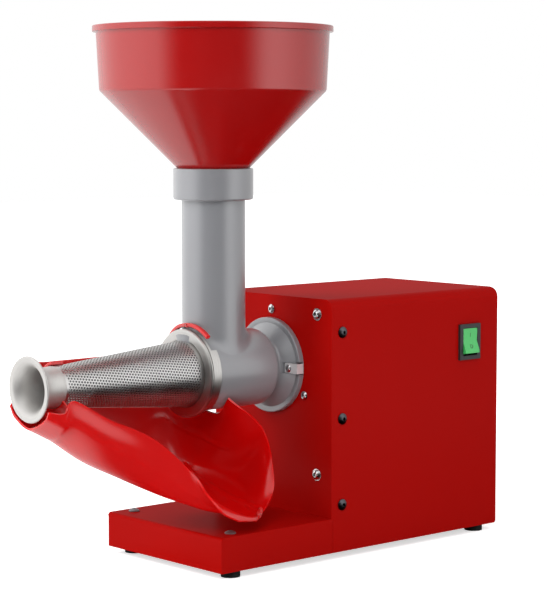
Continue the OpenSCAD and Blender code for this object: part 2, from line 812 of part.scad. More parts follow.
module windings() {
    end_l = 9;
    slots = 12;
    color([0.72, 0.42, 0.2]) place() {
        for (y = [stator_y - end_l, stator_back])
            sleeve(rotor_r + 13, rotor_r + 3, y, y + end_l, 0, motor_z);
        for (i = [0:slots - 1])
            rod(3.4, stator_y - eps, stator_back + eps,
                (rotor_r + 8) * cos(i * 360 / slots), motor_z + (rotor_r + 8) * sin(i * 360 / slots));
    }
}

function motor_bolt_places() = [
    for (a = [45:90:315]) [(stator_r + 4) * cos(a), motor_z + (stator_r + 4) * sin(a)]
];

// A motor end shield: a cup with a bearing seat and four ears, open towards the stator
module shield(y_wall, y_open) {
    near = min(y_wall, y_open);
    far = max(y_wall, y_open);
    wall_t = 4;
    inward = y_open > y_wall ? 1 : -1;
    seat_end = y_wall + inward * (bearing_w + 1);
    difference() {
        union() {
            difference() {
                rod(shield_r, near, far, 0, motor_z);
                rod(shield_r - 4.5, min(y_wall + inward * wall_t, y_open + inward),
                    max(y_wall + inward * wall_t, y_open + inward), 0, motor_z);
            }
            rod(motor_bearing_r + 3, min(y_wall, seat_end), max(y_wall, seat_end), 0, motor_z);
            for (p = motor_bolt_places())
                rod(5, near, far, p[0], p[1]);
        }
        rod(motor_bearing_r + run_gap, min(y_wall + inward, seat_end + inward),
            max(y_wall + inward, seat_end + inward), 0, motor_z);
        rod(rotor_shaft_r + 1, near - 1, far + 1, 0, motor_z);
        for (p = motor_bolt_places())
            rod(2.5 + run_gap, near - 1, far + 1, p[0], p[1]);
    }
}

module motor_front_shield() {
    color([0.74, 0.74, 0.75]) place() shield(cover_back, stator_y);
}

module motor_rear_shield() {
    color([0.74, 0.74, 0.75]) place() shield(shield_back, stator_back);
}

module motor_bolts() {
    color([0.8, 0.8, 0.82]) place()
        for (p = motor_bolt_places()) {
            rod(2.5, case_back + 1, shield_back, p[0], p[1]);
            translate([p[0], shield_back - eps, p[1]]) rotate([-90, 0, 0])
                cylinder(d = 8 / cos(30), h = 3.5, $fn = 6);
        }
}

module cooling_fan() {
    blades = 9;
    fan_r = 42;
    color([0.12, 0.12, 0.13]) place() difference() {
        union() {
            rod(rotor_shaft_r + 5, fan_y, fan_y + fan_w, 0, motor_z);
            rod(fan_r - 6, fan_y, fan_y + 2, 0, motor_z);
            for (i = [0:blades - 1])
                translate([0, fan_y + 1, motor_z]) rotate([0, i * 360 / blades, 0])
                    translate([-1, 0, rotor_shaft_r + 4]) cube([2, fan_w - 2, fan_r - rotor_shaft_r - 4]);
        }
        rod(rotor_shaft_r, fan_y - 1, fan_y + fan_w + 1, 0, motor_z);
    }
}

module motor_cradle() {
    cradle_l = 30;
    half_w = stator_r - 17.5;
    foot_w = 16;
    color([0.55, 0.56, 0.58]) place() difference() {
        translate([-half_w, stator_y + stator_l / 2 - cradle_l / 2, base_top + eps])
            cube([2 * half_w, cradle_l, motor_z - base_top - 26]);
        rod(stator_r, stator_y, stator_back, 0, motor_z);
        translate([foot_w - half_w, stator_y, base_top - 1])
            cube([2 * (half_w - foot_w), stator_l, motor_z - base_top]);
    }
}

module capacitor() {
    can_r = 17;
    can_back = cover_back + stator_l + 6;
    lid_t = 3;
    tab_l = 9;
    tab_w = 6;
    tab_t = 0.8;
    color([0.85, 0.85, 0.86]) place() union() {
        rod(can_r, cover_back, can_back, capacitor_x, capacitor_z);
        rod(capacitor_stud_r, cover_back - 4.5, cover_back + eps, capacitor_x, capacitor_z);
        rod(can_r - 1.5, can_back - eps, can_back + lid_t, capacitor_x, capacitor_z);
        for (side = [-1, 1])
            translate([capacitor_x + side * tab_w - tab_t / 2, can_back + lid_t - 1, capacitor_z - tab_w / 2])
                cube([tab_t, tab_l, tab_w]);
    }
}

module bayonet_ring() {
    color([0.62, 0.62, 0.64]) place() difference() {
        rod(bayonet_r, plate_front - spigot_len, plate_front);
        rod(spigot_r, plate_front - spigot_len - 1, plate_front + 1);
        translate([bayonet_r - 2, plate_front - 3.6, axis_z - 4.5]) cube([4, 2.2, 9]);
    }
}

module press_body() {
    fillet = 4;
    color([0.66, 0.66, 0.68]) place() difference() {
        union() {
            translate([catch_x - 2, catch_seat, axis_z - catch_half - 0.4])
                cube([6, flange_front - catch_seat + 0.5, 2 * catch_half + 0.8]);
            spin() difference() {
                union() {
                    translate([0, barrel_front]) square([barrel_r, barrel_back - barrel_front - fillet]);
                    translate([0, barrel_back - fillet - eps]) square([barrel_r - fillet, fillet + eps]);
                    translate([barrel_r - fillet, barrel_back - fillet]) circle(fillet);
                    translate([0, barrel_back - 2]) square([neck_back_r, flange_front - barrel_back + 4]);
                    polygon([[0, flange_front - 7], [neck_back_r, flange_front - 7],
                        [flange_d / 2 - 4.5, flange_front + 0.6], [flange_d / 2 - 3.2, flange_front],
                        [flange_d / 2 - 0.8, flange_front], [flange_d / 2, flange_front + 0.8],
                        [flange_d / 2, plate_front], [0, plate_front]]);
                }
                translate([-1, barrel_front - 1]) square([bore_r + 1, barrel_back - 3 - barrel_front + 1]);
                translate([-1, barrel_front]) square([output_r + 2, 200]);
            }
            translate([0, tube_y, axis_z]) cylinder(r = tube_r, h = collar_rise - 4);
            translate([0, tube_y, collar_top - collar_h]) rotate_extrude() polygon([
                [0, 0], [collar_r - 2, 0], [collar_r - 0.6, 0.6], [collar_r, 2],
                [collar_r, collar_h - 1.2], [collar_r - 1.2, collar_h], [0, collar_h]]);
        }
        translate([0, tube_y, axis_z]) cylinder(r = tube_bore_r, h = collar_rise + 1);
        translate([0, tube_y, axis_z]) cylinder(r = tube_bore_r + 1, h = throat_rise);
        translate([0, tube_y, collar_top - socket_depth]) cylinder(r = socket_r, h = socket_depth + 1);
        rod(bore_r, barrel_front - 1, barrel_back - 3);
        rod(bayonet_r + gap, plate_front - spigot_len - gap, plate_front + 1);
        translate([notch_x, flange_front - 1, axis_z - notch_half])
            cube([8, flange_t - 0.2, 2 * notch_half]);
        translate([neck_back_r + 0.8, catch_seat - 10, axis_z - catch_half - 0.4])
            cube([flange_d / 2, 10, 2 * catch_half + 0.8]);
        rod(seal_r + run_gap, barrel_back - 3.5, barrel_back + 5);
        rod(1.5 + run_gap, catch_seat - 1, flange_front + 0.1, catch_x, axis_z);
    }
}

notch_half = 5.4;
notch_x = flange_d / 2 - 4.2;
seal_r = output_r + 6;
catch_x = flange_d / 2 - 9.2;
catch_half = 4.2;
catch_seat = flange_front - 3;
catch_t = 0.8;
catch_travel = 2.5;

// The catch slides outwards under its screw, and its bent end leaves the notch
module lock_catch() {
    tip_x = flange_d / 2 + 1.2;
    back_x = catch_x - catch_travel - 2.6;
    y = catch_seat - run_gap - catch_t;
    slot_r = 1.5 + 2 * run_gap;
    color([0.8, 0.8, 0.8]) place() difference() {
        union() {
            translate([back_x, y, axis_z - catch_half]) cube([tip_x - back_x, catch_t, 2 * catch_half]);
            translate([tip_x - catch_t, y, axis_z - catch_half]) cube([catch_t, 7, 2 * catch_half]);
        }
        rod(slot_r, y - 1, y + 2, catch_x, axis_z);
        rod(slot_r, y - 1, y + 2, catch_x - catch_travel, axis_z);
        translate([catch_x - catch_travel, y - 1, axis_z - slot_r]) cube([catch_travel, 3, 2 * slot_r]);
    }
}

module catch_screw() {
    color([0.88, 0.88, 0.9]) place()
        button_screw(catch_x, catch_seat - catch_t - 2 * run_gap, axis_z, 3.4, 2.2, 1.5,
            flange_front - catch_seat + catch_t - 0.3, 2);
}

module shaft_seal() {
    color([0.12, 0.12, 0.12]) place()
        sleeve(seal_r, output_r + run_gap, barrel_back - 3, barrel_back + 4.5);
}

// Radius of the auger's flight at y: it follows the bore, then the cone
function cone_outer(y) = cone_r + (cone_tip_r - cone_r) * max(0, cone_back - y) / cone_len;
function flight_r(y) = min(bore_r - auger_gap, cone_outer(y) - cone_t - auger_gap);
function core_r(y) = core_d / 2 + (core_tip_d - core_d) / 2 * (auger_back - y) / (auger_back - auger_front);
shaft_front = flange_front - 7;
socket_l = 17;
auger_back = barrel_back - 3.4;
auger_front = cone_front + 3;
flight_back = auger_back - 4;

module auger() {
    tang = 11.8;
    color([0.62, 0.62, 0.6]) place() union() {
        spin() polygon([[0, auger_front], [core_tip_d / 2 - 2, auger_front], [core_tip_d / 2, auger_front + 3],
            [core_d / 2, auger_back], [0, auger_back]]);
        rod(output_r, auger_back - 1, shaft_front - gap);
        translate([-tang / 2, shaft_front - 1, axis_z - tang / 2])
            cube([tang, socket_l, tang]);
    }
}

// The flight is a helical strip on the core: one four-sided section, swept
module auger_flight() {
    steps_per_turn = 24;
    run = flight_back - flight_t - auger_front - 4;
    steps = ceil(run / auger_pitch * steps_per_turn);
    function inner_r(y) = core_r(y) / cos(180 / steps_per_turn) + run_gap;
    function section(y) = [[inner_r(y), 0], [flight_r(y - flight_t), -flight_t * 0.2],
        [flight_r(y - flight_t), -flight_t * 0.8], [inner_r(y), -flight_t]];
    points = [for (i = [0:steps])
        let (a = -360 * i / steps_per_turn, y = flight_back - run * i / steps)
        each [for (q = section(y)) [q[0] * cos(a), y + q[1], q[0] * sin(a)]]];
    sides = [for (i = [0:steps - 1], k = [0:3])
        let (a = 4 * i + k, b = 4 * i + (k + 1) % 4)
        each [[a, b, b + 4], [a, b + 4, a + 4]]];
    end = 4 * steps;
    caps = [[0, 2, 1], [0, 3, 2], [end, end + 1, end + 2], [end, end + 2, end + 3]];
    color([0.62, 0.62, 0.6]) place() translate([0, 0, axis_z]) polyhedron(points, concat(sides, caps));
}

module filter_cone() {
    color([0.78, 0.78, 0.79]) place() spin() polygon([
        [cone_tip_r, cone_front], [cone_r, cone_back], [cone_r, filter_flange_front],
        [ring_bore_r - 0.6, filter_flange_front], [ring_bore_r - 0.6, filter_flange_back],
        [cone_r - cone_t, filter_flange_back], [cone_r - cone_t, cone_back],
        [cone_tip_r - cone_t, cone_front]]);
}

module trumpet() {
    wall = 1.2;
    bead_r = 1.4;
    flare_r = lip_r - bead_r - neck_r;
    bead_y = trumpet_front + bead_r;
    outside = [for (a = [0:15:75])
        [neck_r + flare_r * (1 - cos(a)), neck_front - (neck_front - bead_y) * sin(a)]];
    bead = [for (a = [150:-24:-90]) [lip_r - bead_r + bead_r * cos(a), bead_y + bead_r * sin(a)]];
    inside = [for (a = [75:-15:0]) [neck_r - wall + flare_r * (1 - cos(a)),
        neck_front - (neck_front - trumpet_front) * sin(a)]];
    color([0.78, 0.78, 0.79]) place() spin()
        polygon(concat([[neck_r, cone_front]], outside, bead, inside, [[neck_r - wall, cone_front]]));
}

module ring_nut() {
    disc_back = ring_inner_face - 0.2;
    color([0.78, 0.78, 0.77]) place() union() {
        spin() difference() {
            union() {
                polygon([[cone_r + gap, ring_front + 0.8], [cone_r + gap + 0.8, ring_front],
                    [ring_r - 2.2, ring_front], [ring_r - 0.7, ring_front + 0.5], [ring_r, ring_front + 1.6],
                    [ring_r, disc_back - 0.6], [ring_r - 0.6, disc_back], [cone_r + gap, disc_back]]);
                translate([cone_r + gap, disc_back - eps]) square([ring_r - 1.6 - cone_r - gap, 1]);
                translate([cone_r + gap, disc_back + 0.8])
                    square([skirt_r - cone_r - gap, skirt_back - disc_back - 0.8]);
            }
            translate([cone_r, ring_inner_face]) square([ring_bore_r - cone_r, 20]);
        }
        for (start = [lug_low, 180 + lug_low])
            translate([0, lug_back, axis_z]) rotate([90, 0, 0]) rotate([0, 0, start])
                rotate_extrude(angle = lug_high - lug_low) translate([ring_bore_r + 0.1, 0])
                    square([skirt_r - ring_bore_r - 0.2, lug_back - skirt_back + 0.5]);
    }
}

module funnel() {
    foot_r = spigot_d / 2;
    knee_r = funnel_d / 2 - 5.5;
    knee_h = knee_r - foot_r;
    rim_r = funnel_d / 2;
    wall_r = funnel_d / 2 - 3;
    color([0.7, 0.05, 0.05]) place() translate([0, tube_y, collar_top]) rotate_extrude() polygon([
        [foot_r, -socket_depth + 1], [foot_r, 0.2], [knee_r, knee_h], [wall_r, funnel_h - 5],
        [rim_r, funnel_h - 5], [rim_r, funnel_h - 0.8], [rim_r - 0.8, funnel_h],
        [wall_r - funnel_wall, funnel_h],
        [knee_r - funnel_wall, knee_h + funnel_wall * 0.4], [foot_r - funnel_wall, funnel_wall * 0.4],
        [foot_r - funnel_wall, -socket_depth + 1]]);
}

// Tray ribs from the front to the spout. Each rib has five points from the far edge
// round the floor to the near edge: [x, share of the length, share of the fall] in percent
tray_ribs = [
    [[-26, 0.8, 14], [-19, 0.8, 21.5], [-1, 1, 27.9], [20, 0.8, 20.6], [28, 0.8, 17]],
    [[-31, 8.5, -4], [-28.5, 8, 19], [0, 7.6, 34.5], [24, 7.6, 26], [28.5, 7.6, 19.2]],
    [[-36, 14, -13], [-36, 13, 19], [0, 12, 39], [28, 11.8, 26], [29.5, 11.6, 7]],
    [[-41, 24, -13], [-42, 24, 30], [4, 24, 54.5], [34, 24, 41], [37, 25, 21.5]],
    [[-41, 38.5, -13], [-43, 38, 38.5], [9, 37, 66.5], [38, 37, 54.5], [42, 36, 30.5]],
    [[-41, 53, -13], [-43, 51.5, 52], [16, 46, 75], [42, 46.5, 66], [47, 44.5, 40]],
    [[-41, 67, -13], [-43, 64, 65], [24, 53, 81.5], [49, 54, 76], [53, 54, 56.5]],
    [[-40, 80, -6], [-42, 75, 71], [33, 59.5, 86.5], [57, 61, 83.5], [60, 57.5, 67.5]],
    [[-33.5, 85, 12], [-38, 86, 76], [41, 66, 91], [64, 67.5, 89.5], [67, 59, 77]],
    [[-18, 89.5, 27.5], [-24, 92.5, 78], [48, 75, 94.5], [69, 74, 94.5], [74, 61, 84.5]],
    [[7, 90, 30.5], [14, 98, 74.5], [56, 86, 97.5], [74, 79, 98], [78.5, 63.5, 91.5]],
    [[28, 86.5, 17], [44.5, 98.2, 42], [58.5, 97.4, 81.5], [73, 83, 99], [80, 70.5, 98]]
];

function tray_point(p) = [p[0], tray_front + p[1] * tray_len / 100, axis_z - p[2] * tray_fall / 100];

// A smooth curve through four points, at t between the two middle ones
function blend(a, b, c, d, t) =
    0.5 * ((2 * b) + (c - a) * t + (2 * a - 5 * b + 4 * c - d) * t * t + (3 * b - a - 3 * c + d) * t * t * t);

// A point at u along a list of points, where whole numbers are the points themselves
function along(list, u) =
    let (
        last = len(list) - 1,
        i = min(floor(u), last - 1),
        before = i > 0 ? list[i - 1] : 2 * list[0] - list[1],
        after = i + 2 <= last ? list[i + 2] : 2 * list[last] - list[last - 1]
    )
    blend(before, list[i], list[i + 1], after, u - i);

// The tray's outer skin at rib number u and place v across it, both from 0 to 1
function tray_skin(u, v) =
    along([for (rib = tray_ribs) along([for (p = rib) tray_point(p)], v * 4)], u * (len(tray_ribs) - 1));

function unit(v) = v / norm(v);

// The inward normal, from two short steps on the skin
function tray_normal(u, v) =
    let (
        d = 0.02,
        du = tray_skin(min(1, u + d), v) - tray_skin(max(0, u - d), v),
        dv = tray_skin(u, min(1, v + d)) - tray_skin(u, max(0, v - d))
    )
    unit(cross(dv, du));

module drip_tray() {
    cols = 24;
    rows = 40;
    count = (cols + 1) * (rows + 1);
    outer = [for (i = [0:rows], j = [0:cols]) tray_skin(i / rows, j / cols)];
    inner = [for (i = [0:rows], j = [0:cols])
        tray_skin(i / rows, j / cols) + tray_wall * tray_normal(i / rows, j / cols)];
    function at(i, j) = i * (cols + 1) + j;
    function quad(a, b, c, d) = [[a, b, c], [a, c, d]];
    skins = [for (i = [0:rows - 1], j = [0:cols - 1]) each concat(
        quad(at(i, j), at(i, j + 1), at(i + 1, j + 1), at(i + 1, j)),
        quad(count + at(i, j), count + at(i + 1, j), count + at(i + 1, j + 1), count + at(i, j + 1)))];
    long_edges = [for (i = [0:rows - 1]) each concat(
        quad(at(i, 0), at(i + 1, 0), count + at(i + 1, 0), count + at(i, 0)),
        quad(at(i, cols), count + at(i, cols), count + at(i + 1, cols), at(i + 1, cols)))];
    end_edges = [for (j = [0:cols - 1]) each concat(
        quad(at(0, j), count + at(0, j), count + at(0, j + 1), at(0, j + 1)),
        quad(at(rows, j), at(rows, j + 1), count + at(rows, j + 1), count + at(rows, j)))];
    color([0.75, 0.03, 0.03]) place() union() {
        polyhedron(concat(outer, inner), concat(skins, long_edges, end_edges));
        tray_strap();
        tray_hook();
    }
}

// The strap that holds the tray on the ring nut: from the far wall over the top,
// then across the front of the inlet tube to its free end
module tray_strap() {
    translate([0, strap_y, axis_z]) {
        rotate([0, 0, -strap_tilt]) strap_arc(strap_r, strap_top, strap_far);
        translate([strap_shift, 0, 0]) strap_arc(strap_r + 0.6, strap_near, strap_end);
    }
}

module strap_arc(r, near, far) {
    translate([0, strap_w, 0]) rotate([90, 0, 0]) rotate([0, 0, near])
        rotate_extrude(angle = far - near) translate([r, 0]) square([strap_t, strap_w]);
}

// The wall across the tray with the round seat for the trumpet's neck
module tray_hook() {
    hook_t = 2.4;
    share = 2 / (len(tray_ribs) - 1);
    cols = 20;
    first = 0.12;
    last = 0.88;
    rim = [for (j = [0:cols]) let (v = first + (last - first) * j / cols)
        tray_skin(share, v) + tray_wall / 2 * tray_normal(share, v)];
    seat = [for (j = [0:cols]) let (a = atan2(rim[j][2] - axis_z, rim[j][0]))
        [(neck_r + gap) * cos(a), rim[j][1], axis_z + (neck_r + gap) * sin(a)]];
    back = [0, hook_t, 0];
    n = cols + 1;
    points = concat(rim, seat, [for (p = rim) p + back], [for (p = seat) p + back]);
    function quad(a, b, c, d) = [[a, b, c], [a, c, d]];
    faces = concat(
        [for (j = [0:cols - 1]) each quad(j, n + j, n + j + 1, j + 1)],
        [for (j = [0:cols - 1]) each quad(2 * n + j, 2 * n + j + 1, 3 * n + j + 1, 3 * n + j)],
        [for (j = [0:cols - 1]) each quad(j, j + 1, 2 * n + j + 1, 2 * n + j)],
        [for (j = [0:cols - 1]) each quad(n + j, 3 * n + j, 3 * n + j + 1, n + j + 1)],
        quad(0, 2 * n, 3 * n, n),
        quad(cols, n + cols, 3 * n + cols, 2 * n + cols));
    polyhedron(points, faces);
}

base_pan();
rubber_feet();
foot_screws();
housing_cover();
cover_screws();
front_plate();
plate_screws();
plate_washers();
gearbox_screws();
mount_plate();
rear_panel();
rear_screws();
cable_gland();
gland_nut();
switch_bezel();
switch_rocker();
gearbox_case();
gearbox_cover();
case_screws();
output_shaft();
output_gear();
output_bearings();
layshaft();
layshaft_gear();
layshaft_bearings();
rotor_shaft();
rotor_core();
motor_bearings();
stator_core();
windings();
motor_front_shield();
motor_rear_shield();
motor_bolts();
cooling_fan();
motor_cradle();
capacitor();
bayonet_ring();
press_body();
lock_catch();
catch_screw();
shaft_seal();
auger();
auger_flight();
filter_cone();
trumpet();
ring_nut();
drip_tray();
funnel();
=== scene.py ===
import json
from math import asin, atan, atan2, copysign, cos, exp, floor, hypot, pi, radians, sin, sqrt, tan

import bpy
from mathutils import Matrix, Vector

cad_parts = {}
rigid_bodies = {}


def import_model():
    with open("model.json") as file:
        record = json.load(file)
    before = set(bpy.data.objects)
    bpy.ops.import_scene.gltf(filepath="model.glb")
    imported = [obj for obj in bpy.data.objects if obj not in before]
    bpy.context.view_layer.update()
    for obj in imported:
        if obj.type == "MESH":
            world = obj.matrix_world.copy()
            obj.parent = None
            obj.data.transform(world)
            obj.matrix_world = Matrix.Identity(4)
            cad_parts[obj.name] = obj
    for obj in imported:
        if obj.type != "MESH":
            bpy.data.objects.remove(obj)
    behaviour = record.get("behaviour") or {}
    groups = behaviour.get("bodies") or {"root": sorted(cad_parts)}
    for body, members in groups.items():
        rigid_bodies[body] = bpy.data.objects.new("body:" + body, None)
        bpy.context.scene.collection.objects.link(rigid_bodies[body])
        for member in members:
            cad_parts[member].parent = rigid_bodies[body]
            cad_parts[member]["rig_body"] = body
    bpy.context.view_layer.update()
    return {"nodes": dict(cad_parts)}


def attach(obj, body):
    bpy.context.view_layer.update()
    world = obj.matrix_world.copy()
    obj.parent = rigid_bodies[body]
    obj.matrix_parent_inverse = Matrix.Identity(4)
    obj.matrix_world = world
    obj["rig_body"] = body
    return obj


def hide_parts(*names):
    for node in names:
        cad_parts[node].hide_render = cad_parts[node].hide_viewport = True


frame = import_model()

bl_info = {
    "name": "Electric tomato press",
    "version": (1, 0, 0),
    "blender": (4, 5, 0),
    "location": "View3D > Sidebar > Tomato press",
    "description": "Dresses the packed frame of an electric tomato press",
    "category": "Object",
}

MM = 0.001

# Where the working drawing's front edge of the cover lies in the frame, in metres
Y0 = 0.020925
# The press axis's height and the inlet tube's place on that drawing, in millimetres
AXIS = 159
TUBE = -67
AXIS_Z = AXIS * MM
TUBE_Y = Y0 + TUBE * MM
# The camera's turn from the front and its dip, in degrees
VIEW_TURN = 48.42
VIEW_DIP = 5.06
TO_RIGHT = (cos(radians(VIEW_TURN)), sin(radians(VIEW_TURN)), 0)
TO_CAMERA = (TO_RIGHT[1], -TO_RIGHT[0], 0)
WHITE = (1, 1, 1, 1)


def mm(x, y, z):
    """A point of the working drawing, in millimetres, as a place in the frame."""
    return Vector((x * MM, y * MM + Y0, z * MM))


# ---- modelling


def object_mode():
    bpy.ops.object.mode_set(mode="OBJECT")


def begin():
    """Leaves edit mode and deselects everything."""
    if bpy.context.object and bpy.context.object.mode != "OBJECT":
        object_mode()
    bpy.ops.object.select_all(action="DESELECT")


def edit(select="SELECT"):
    """Goes into edit mode with every vertex selected, or none."""
    bpy.ops.object.mode_set(mode="EDIT")
    bpy.ops.mesh.select_mode(type="VERT")
    bpy.ops.mesh.select_all(action=select)


def close_up(obj, merge=1e-6):
    """Merges doubles and turns all faces outwards."""
    edit()
    bpy.ops.mesh.remove_doubles(threshold=merge)
    bpy.ops.mesh.normals_make_consistent(inside=False)
    object_mode()
    return obj


def capped(obj):
    """Closes the open ends of a shell."""
    edit("DESELECT")
    bpy.ops.mesh.select_non_manifold()
    bpy.ops.mesh.fill_holes(sides=0)
    object_mode()
    return close_up(obj)


def flip():
    """Turns the faces of the active object round."""
    edit()
    bpy.ops.mesh.flip_normals()
    object_mode()


def apply_modifier(obj, kind, **values):
    bpy.context.view_layer.objects.active = obj
    modifier = obj.modifiers.new(kind.lower(), kind)
    for key, value in values.items():
        setattr(modifier, key, value)
    bpy.ops.object.modifier_apply(modifier=modifier.name)


def bevel(obj, width, segments=2, corner=60):
    """Rounds the edges whose faces turn by more than so many degrees."""
    apply_modifier(obj, "BEVEL", width=width, segments=segments, limit_method="ANGLE",
                   angle_limit=radians(corner))


def boolean(obj, other, operation):
    """Joins another object to this one, or cuts it away."""
    apply_modifier(obj, "BOOLEAN", object=other, operation=operation, solver="EXACT")
    bpy.data.objects.remove(other)


def turned(name, profile, centre=(0, 0, AXIS_Z), axis=(0, 1, 0), steps=96):
    """A closed outline of [radius, place along the axis], spun about the axis."""
    begin()
    bpy.ops.mesh.primitive_circle_add(vertices=len(profile), radius=1)
    obj = bpy.context.object
    obj.name = name
    centre, axis = Vector(centre), Vector(axis)
    side = Vector((1, 0, 0))
    for vertex, (radius, place) in zip(obj.data.vertices, profile):
        vertex.co = centre + side * radius + axis * place
    edit()
    bpy.ops.mesh.spin(steps=steps, angle=2 * pi, center=centre, axis=axis)
    return close_up(obj)


def rounded(points, radius=0.0, corners=None, steps=4):
    """The outline with an arc at each corner that has a radius, all in one unit."""
    outline = []
    count = len(points)
    for i, point in enumerate(points):
        r = (corners or {}).get(i, radius)
        here = Vector(point)
        to_last = Vector(points[i - 1]) - here
        to_next = Vector(points[(i + 1) % count]) - here
        turn = to_last.angle(to_next)
        if r <= 0 or turn > radians(179):
            outline.append(tuple(here))
            continue
        reach = min(r / tan(turn / 2), to_last.length * 0.49, to_next.length * 0.49)
        start = here + to_last.normalized() * reach
        end = here + to_next.normalized() * reach
        for k in range(steps + 1):
            t = k / steps
            outline.append(tuple(start * (1 - t) ** 2 + here * 2 * t * (1 - t) + end * t * t))
    return outline


def scaled(points, along=0.0):
    """Millimetres to metres, with the place along the axis moved by along."""
    return [(r * MM, h * MM + along) for r, h in points]


def sheet(name, cols, rows, place):
    """A grid of faces whose points are put where place(u, v) says, for u and v from 0 to 1."""
    begin()
    bpy.ops.mesh.primitive_grid_add(x_subdivisions=cols, y_subdivisions=rows, size=1)
    obj = bpy.context.object
    obj.name = name
    for vertex in obj.data.vertices:
        vertex.co = place(vertex.co.x + 0.5, vertex.co.y + 0.5)
    return close_up(obj)


def bar(name, count, loop, place):
    """A closed bar of count steps. Its outline at u is place(u, point) of each point in a loop."""
    sides = len(loop)
    return capped(sheet(name, count, sides, lambda u, v: place(u, loop[round(v * sides) % sides])))


def block(low, high):
    """A box from one corner to the other, to cut or to join."""
    begin()
    bpy.ops.mesh.primitive_cube_add(size=1)
    obj = bpy.context.object
    low, high = Vector(low), Vector(high)
    for vertex in obj.data.vertices:
        vertex.co = Vector(low[i] if vertex.co[i] < 0 else high[i] for i in range(3))
    return obj


def plug(radius, start, end):
    """A cylinder from one point to another, to cut or to join."""
    begin()
    start, end = Vector(start), Vector(end)
    bpy.ops.mesh.primitive_cylinder_add(vertices=96, radius=radius, depth=(end - start).length)
    obj = bpy.context.object
    turn = (end - start).to_track_quat("Z", "Y").to_matrix().to_4x4()
    obj.data.transform(Matrix.Translation((start + end) / 2) @ turn)
    return obj


def copied(node):
    """A copy of a CAD node's mesh with its loose triangles merged."""
    begin()
    mesh = frame["nodes"][node].data.copy()
    mesh.materials.clear()
    obj = bpy.data.objects.new(node + "_piece", mesh)
    bpy.context.collection.objects.link(obj)
    obj.select_set(True)
    bpy.context.view_layer.objects.active = obj
    edit()
    bpy.ops.mesh.remove_doubles(threshold=2e-6)
    bpy.ops.mesh.tris_convert_to_quads(face_threshold=radians(0.5), shape_threshold=radians(180))
    object_mode()
    if obj.data.has_custom_normals:
        bpy.ops.mesh.customdata_custom_splitnormals_clear()
    return obj


def painted(data, finish):
    data.materials.clear()
    data.materials.append(FINISH[finish])


def finished(obj, finish, body, nodes=(), smooth=32):
    """Shades a piece, gives it its finish, ties it to its body and hides the nodes it replaces."""
    begin()
    obj.select_set(True)
    bpy.context.view_layer.objects.active = obj
    bpy.ops.object.transform_apply(location=True, rotation=True, scale=True)
    bpy.ops.object.shade_smooth_by_angle(angle=radians(smooth))
    apply_modifier(obj, "WEIGHTED_NORMAL", keep_sharp=True)
    painted(obj.data, finish)
    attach(obj, body)
    if nodes:
        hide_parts(*nodes)
    begin()
    return obj


def dressed(node, finish, edge=0.0, smooth=32):
    """A node's own shape with rounded edges, as a piece that replaces the node."""
    obj = copied(node)
    if edge:
        bevel(obj, edge, corner=40)
    return finished(obj, finish, frame["nodes"][node]["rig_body"], [node], smooth)


# ---- materials


class Wiring:
    """Adds nodes to a tree and links them."""

    def __init__(self, tree):
        self.tree = tree
        self.count = 0

    def add(self, kind, _values=None, **inputs):
        node = self.tree.nodes.new(kind)
        node.location = (200 * self.count, -40 * (self.count % 5))
        self.count += 1
        for key, value in (_values or {}).items():
            setattr(node, key, value)
        self.put(node, **inputs)
        return node

    def put(self, node, **inputs):
        """Links or sets inputs, each given by its number, such as i0, or by its name."""
        for key, value in inputs.items():
            if isinstance(value, bpy.types.Node):
                value = value.outputs[0]
            numbered = key[0] == "i" and key[1:].isdigit()
            socket = node.inputs[int(key[1:]) if numbered else key.replace("_", " ")]
            if isinstance(value, bpy.types.NodeSocket):
                self.tree.links.new(value, socket)
            else:
                socket.default_value = value

    def math(self, operation, a, b=0.0):
        return self.add("ShaderNodeMath", {"operation": operation}, i0=a, i1=b).outputs[0]

    def times(self, a, b):
        return self.math("MULTIPLY", a, b)

    def vector(self, operation, **inputs):
        return self.add("ShaderNodeVectorMath", {"operation": operation}, **inputs).outputs

    def dot(self, a, b):
        return self.vector("DOT_PRODUCT", i0=a, i1=b)["Value"]

    def noise(self, vector, scale, detail=2.0, rough=0.5):
        inputs = {"Vector": vector, "Scale": scale, "Detail": detail, "Roughness": rough}
        return self.add("ShaderNodeTexNoise", **inputs).outputs["Fac"]

    def ramp(self, value, low, high, to_low, to_high):
        return self.add("ShaderNodeMapRange", {"interpolation_type": "SMOOTHSTEP"}, i0=value, i1=low, i2=high,
                        i3=to_low, i4=to_high).outputs[0]

    def blend(self, share, a, b):
        """A number between two."""
        return self.add("ShaderNodeMix", i0=share, i2=a, i3=b).outputs[0]

    def mix(self, share, a, b):
        """A colour between two."""
        return self.add("ShaderNodeMix", {"data_type": "RGBA"}, i0=share, i6=a, i7=b).outputs[2]


def new_group(name, inputs, outputs):
    """A node group with these inputs besides its Vector, its wiring and its two ends."""
    group = bpy.data.node_groups.new(name, "ShaderNodeTree")
    group.interface.new_socket(name="Vector", in_out="INPUT", socket_type="NodeSocketVector")
    for kind, label, value in inputs:
        socket = group.interface.new_socket(name=label, in_out="INPUT", socket_type=kind)
        socket.default_value = value
    for kind, label in outputs:
        group.interface.new_socket(name=label, in_out="OUTPUT", socket_type=kind)
    wires = Wiring(group)
    return group, wires, wires.add("NodeGroupInput").outputs, wires.add("NodeGroupOutput")


FLOAT, COLOUR = "NodeSocketFloat", "NodeSocketColor"


